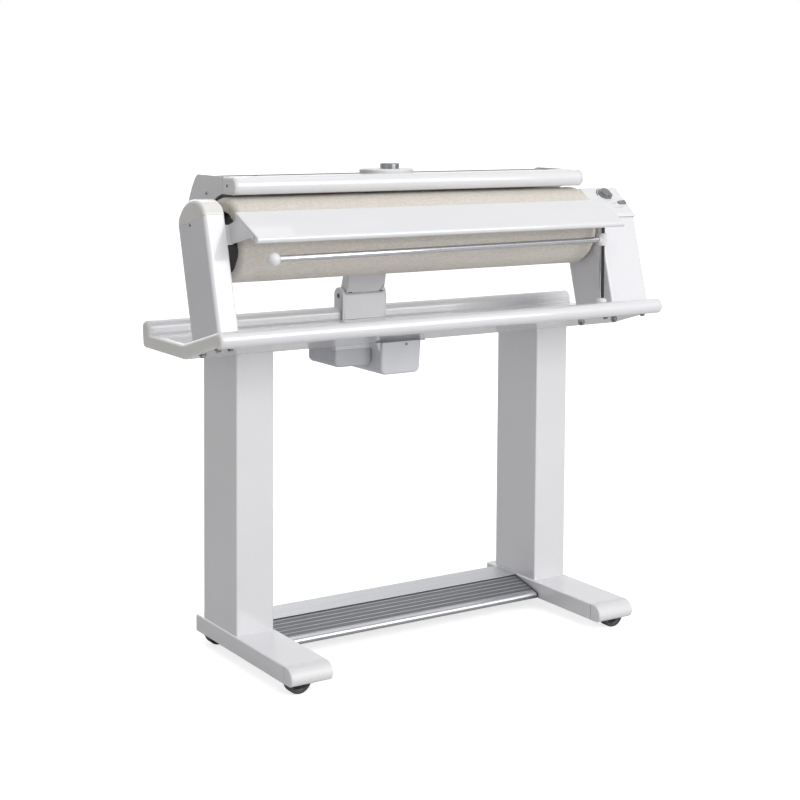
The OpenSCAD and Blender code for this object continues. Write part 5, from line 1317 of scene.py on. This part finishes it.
@dataclass
class LinenHandling(SubAssembly):
    """The feed board with its rolled edge and brackets, and the swinging chrome rail on its post."""

    board_back: Point = (-64.3, 869.5)
    angle: float = 25.2
    run: float = 91.0
    sheet: float = 3.0
    roll_r: float = 6.5
    board_x: Point = (-443.0, 400.0)
    trim: float = 2.5
    post_top: float = 849.3
    strip_turn: float = -76.0
    post: Point = (387.0, -94.0)
    rail_z: float = 789.5
    rail_len: float = 797.0
    ball_r: float = 12.5
    open_deg: float = 3.74

    def on_board(self, run: float, rise: float) -> Point:
        """Returns the (y, z) of a point given along and square to the board."""
        a = math.radians(self.angle)
        return (self.board_back[0] - run * math.cos(a) - rise * math.sin(a),
                self.board_back[1] - run * math.sin(a) + rise * math.cos(a))

    def build(self) -> None:
        """Builds the board and the rail."""
        centre = self.on_board(self.run, -self.roll_r)
        up = 90 + self.angle
        edge = arc(centre, self.roll_r, up, up + 250, 22)
        inner = arc(centre, self.roll_r - 2.0, up + 250, up + 40, 16)
        shape = ([self.on_board(0, 0)] + edge + inner + [self.on_board(self.run - 3.0, -self.sheet),
                 self.on_board(0, -self.sheet)])
        x0, x1 = self.board_x
        self.place(prism("Feed-board", shape, Axis.X, x0 + self.trim, x1 - self.trim, (0.15, 0.15), rim=0.5),
                   Body.FRAME, Palette.GLOSS, "feed_board")
        solid = [self.on_board(0, 0)] + edge + [self.on_board(self.run - 4.0, -self.roll_r),
                 self.on_board(self.run - 8.0, -self.sheet), self.on_board(0, -self.sheet)]
        trims = [prism("trim", solid, Axis.X, x0, x0 + self.trim - 0.2, (1.0, 0.2), rim=0.5),
                 prism("trim", solid, Axis.X, x1 - self.trim + 0.2, x1, (0.2, 1.0), rim=0.5)]
        self.place(join("Board-trims", trims), Body.FRAME, Palette.WHITE_PLASTIC)
        self.dress(Palette.WHITE_PLASTIC, "board_brackets", bevel=0.5)
        self.rail()

    def rail(self) -> None:
        """Builds the rod, its ball, the clamp with its nose and the post with its foot."""
        a = math.radians(self.open_deg)
        way = Vector((-math.cos(a), -math.sin(a), 0))
        hub = (self.post[0], self.post[1], self.rail_z)
        rod = lathe("Linen-rail", [(0, 9.8), (5.6, 9.8), (6.0, 10.2), (6.0, 785.2), (5.5, 785.8), (0, 785.8)], hub,
                    way, 48)
        self.place(rod, Body.RAIL, Palette.CHROME, "linen_rail")
        r = self.ball_r
        profile = [(max(r * math.sin(math.radians(t)), 0.0), self.rail_len - r * math.cos(math.radians(t)))
                   for t in range(29, 181, 8)] + [(0.0, self.rail_len + r)]
        ball = lathe("Rail-ball", [(6.05, profile[0][1])] + profile, hub, way, 48)
        self.place(ball, Body.RAIL, Palette.WHITE_PLASTIC, "rail_ball")
        drum = lathe("drum", [(5.1, -12.5), (8.2, -12.5), (9.3, -11.6), (9.5, -10), (9.5, 10), (9.3, 11.6),
                     (8.2, 12.5), (5.1, 12.5), (5.1, -12.5)], hub, Vector((0, 0, 1)), 48)
        nose = lathe("nose", [(0, 0), (7.8, 0), (7.8, 10.8), (7.2, 12.0), (6.1, 12.4)], hub, way, 48)
        self.place(join("Rail-clamp", [drum, nose]), Body.RAIL, Palette.WHITE_PLASTIC, "rail_clamp")
        self.upright()

    def upright(self) -> None:
        """Builds the post with its domed foot, and the black strip that lies along its outer side."""
        x, y = self.post
        d = self.datum
        foot_z = d.bed_z + (d.fold_y - y) * math.tan(math.radians(d.wing_angle))
        up = Vector((0, 0, 1))
        rod = lathe("Rail-post", [(0, -6), (5.0, -6), (5.0, self.post_top - foot_z), (0, self.post_top - foot_z)],
                    (x, y, foot_z), up, 48)
        self.place(rod, Body.FRAME, Palette.CHROME, "rail_post")
        dome = lathe("Post-foot", [(5.1, -3), (11.6, -3), (11.6, 6.5), (10.9, 9.6), (9.0, 12.2), (6.6, 13.7),
                     (5.1, 14.0)], (x, y, foot_z), up, 64)
        self.place(dome, Body.FRAME, Palette.WHITE_PLASTIC)
        t = self.strip_turn
        section = arc((x, y), 5.5, t - 62, t + 62, 12) + arc((x, y), 5.02, t + 62, t - 62, 12)
        for low, high in ((foot_z + 14.2, self.rail_z - 13.0), (self.rail_z + 13.0, self.post_top - 0.5)):
            strip = prism("Post-strip", section, Axis.Z, low, high, (0.1, 0.1), rim=0.0)
            self.place(strip, Body.FRAME, Palette.BLACK)


# studio


@dataclass(frozen=True)
class Lamp:
    """One soft square lamp: its place, aim and side in metres and its power in watts."""

    name: str
    place: Point3
    aim: Point3
    size: float
    power: float

    def hang(self) -> None:
        """Adds the lamp to the scene, turned to its aim."""
        data = bpy.data.lights.new(self.name, "AREA")
        data.shape = "SQUARE"
        data.size = self.size
        data.energy = self.power
        lamp = bpy.data.objects.new(self.name, data)
        lamp.location = self.place
        lamp.rotation_euler = (Vector(self.aim) - Vector(self.place)).to_track_quat("-Z", "Y").to_euler()
        bpy.context.scene.collection.objects.link(lamp)


@dataclass
class Studio:
    """Pale floor, soft lamps and the photograph's camera.

    Attributes:
        eye: The camera's place in metres.
        yaw: Its turn to the right of the Y axis, in degrees.
        pitch: Its tilt down, in degrees.
        roll: Its lean, in degrees.
        focal_px: Focal length in pixels of the photograph.
        frame_px: Width of the photograph in pixels.
        centre_px: Where the lens points, in pixels from the photograph's top left corner.
        floor_lift: Light added to the floor for the camera, near the ironer.
        ambient: Strength of the surroundings' soft light.
        lights: The lamps.
    """

    eye: Point3 = (-1.8085, -2.7297, 1.0722)
    yaw: float = 32.806
    pitch: float = 3.931
    roll: float = 0.358
    focal_px: float = 1658.25
    frame_px: float = 800.0
    centre_px: Point = (399.7, 214.4)
    floor_lift: float = 0.74
    ambient: float = 0.32
    lights: tuple[Lamp, ...] = (Lamp("Key", (1.6, -4.2, 2.2), (0, 0, 0.6), 3.2, 120.0),
                                Lamp("Front", (-0.4, -2.9, 3.4), (0, 0, 0.2), 2.4, 24.0),
                                Lamp("Back", (0.0, 3.4, 2.2), (0, 0, 0.6), 3.0, 34.0),
                                Lamp("Fill", (-4.2, -1.6, 2.0), (0, 0, 0.6), 3.0, 11.0),
                                Lamp("Top", (0.0, 0.3, 4.2), (0, 0, 0.6), 3.6, 28.0))

    def build(self) -> None:
        """Builds the floor, the lamps, the world and the camera."""
        self.floor()
        for lamp in self.lights:
            lamp.hang()
        self.world()
        self.camera()
        bpy.context.scene.view_settings.view_transform = "Standard"

    def floor(self) -> None:
        """Lays the floor: pale matt paint that the camera sees lit up to white, with the object's shadow kept."""
        bm = bmesh.new()
        bmesh.ops.create_grid(bm, x_segments=1, y_segments=1, size=30.0)
        plane = finish_mesh(bm, "Floor")
        mat = bpy.data.materials.new("Studio floor, pale matt paint")
        mat.use_nodes = True
        tree = mat.node_tree
        tree.nodes.clear()
        # Patches of paint about 25 mm across
        grain = add_node(tree, "ShaderNodeTexNoise", {"Scale": 40.0})
        tone = add_node(tree, "ShaderNodeMix", {"Factor": grain.outputs[0], 6: linear("#d6d6d6"),
                        7: linear("#d9d9d9")}, data_type="RGBA")
        paint = add_node(tree, "ShaderNodeBsdfDiffuse", {"Color": tone.outputs[2]})
        path = add_node(tree, "ShaderNodeLightPath")
        # Far from the ironer the lamps fade out, so the lift grows to full white there
        spot = add_node(tree, "ShaderNodeTexCoord")
        away = add_node(tree, "ShaderNodeVectorMath", {0: spot.outputs["Object"]}, operation="LENGTH")
        rise = add_node(tree, "ShaderNodeMapRange", {"Value": away.outputs["Value"], "From Min": 1.2,
                        "From Max": 3.5, "To Min": self.floor_lift, "To Max": 1.0})
        lift = add_node(tree, "ShaderNodeMath", {0: path.outputs["Is Camera Ray"], 1: rise.outputs[0]},
                        operation="MULTIPLY")
        glow = add_node(tree, "ShaderNodeEmission", {"Color": linear("#ffffff"), "Strength": lift.outputs[0]})
        both = add_node(tree, "ShaderNodeAddShader", {0: paint.outputs[0], 1: glow.outputs[0]})
        add_node(tree, "ShaderNodeOutputMaterial", {"Surface": both.outputs[0]})
        plane.data.materials.append(mat)

    def world(self) -> None:
        """Sets the surroundings: dim for soft light, plain white where the camera or a reflection sees them."""
        world = bpy.data.worlds.new("Studio")
        world.use_nodes = True
        tree = world.node_tree
        tree.nodes.clear()
        path = add_node(tree, "ShaderNodeLightPath")
        seen = add_node(tree, "ShaderNodeMath", {0: path.outputs["Is Camera Ray"], 1: path.outputs["Is Glossy Ray"]},
                        operation="MAXIMUM")
        seen = add_node(tree, "ShaderNodeMath", {0: seen.outputs[0], 1: path.outputs["Is Transmission Ray"]},
                        operation="MAXIMUM")
        dim = add_node(tree, "ShaderNodeBackground", {"Color": linear("#ffffff"), "Strength": self.ambient})
        white = add_node(tree, "ShaderNodeBackground", {"Color": linear("#ffffff"), "Strength": 1.0})
        mix = add_node(tree, "ShaderNodeMixShader", {0: seen.outputs[0], 1: dim.outputs[0], 2: white.outputs[0]})
        add_node(tree, "ShaderNodeOutputWorld", {"Surface": mix.outputs[0]})
        bpy.context.scene.world = world

    def camera(self) -> None:
        """Sets the camera up from the fitted eye point, angles and focal length."""
        yaw, pitch, roll = (math.radians(v) for v in (self.yaw, self.pitch, self.roll))
        ahead = Vector((math.sin(yaw) * math.cos(pitch), math.cos(yaw) * math.cos(pitch), -math.sin(pitch)))
        level = Vector((math.cos(yaw), -math.sin(yaw), 0))
        rise = level.cross(ahead)
        right = level * math.cos(roll) + rise * math.sin(roll)
        up = rise * math.cos(roll) - level * math.sin(roll)
        data = bpy.data.cameras.new("Camera")
        data.sensor_width = 36.0
        data.lens = 36.0 * self.focal_px / self.frame_px
        data.shift_x = (self.frame_px / 2 - self.centre_px[0]) / self.frame_px
        data.shift_y = (self.centre_px[1] - self.frame_px / 2) / self.frame_px
        data.clip_end = 60.0
        turn = Matrix((right, up, -ahead)).transposed().to_4x4()
        camera = bpy.data.objects.new("Camera", data)
        camera.matrix_world = Matrix.Translation(self.eye) @ turn
        bpy.context.scene.collection.objects.link(camera)
        bpy.context.scene.camera = camera


def main() -> None:
    """Builds the studio and every sub-assembly."""
    logging.basicConfig(level=logging.INFO, format="%(name)s %(message)s")
    Studio().build()
    for group in (Tray, Stand, Housings, Roller, Shoe, Drive, LinenHandling):
        group().build()


if __name__ == "__main__":
    main()
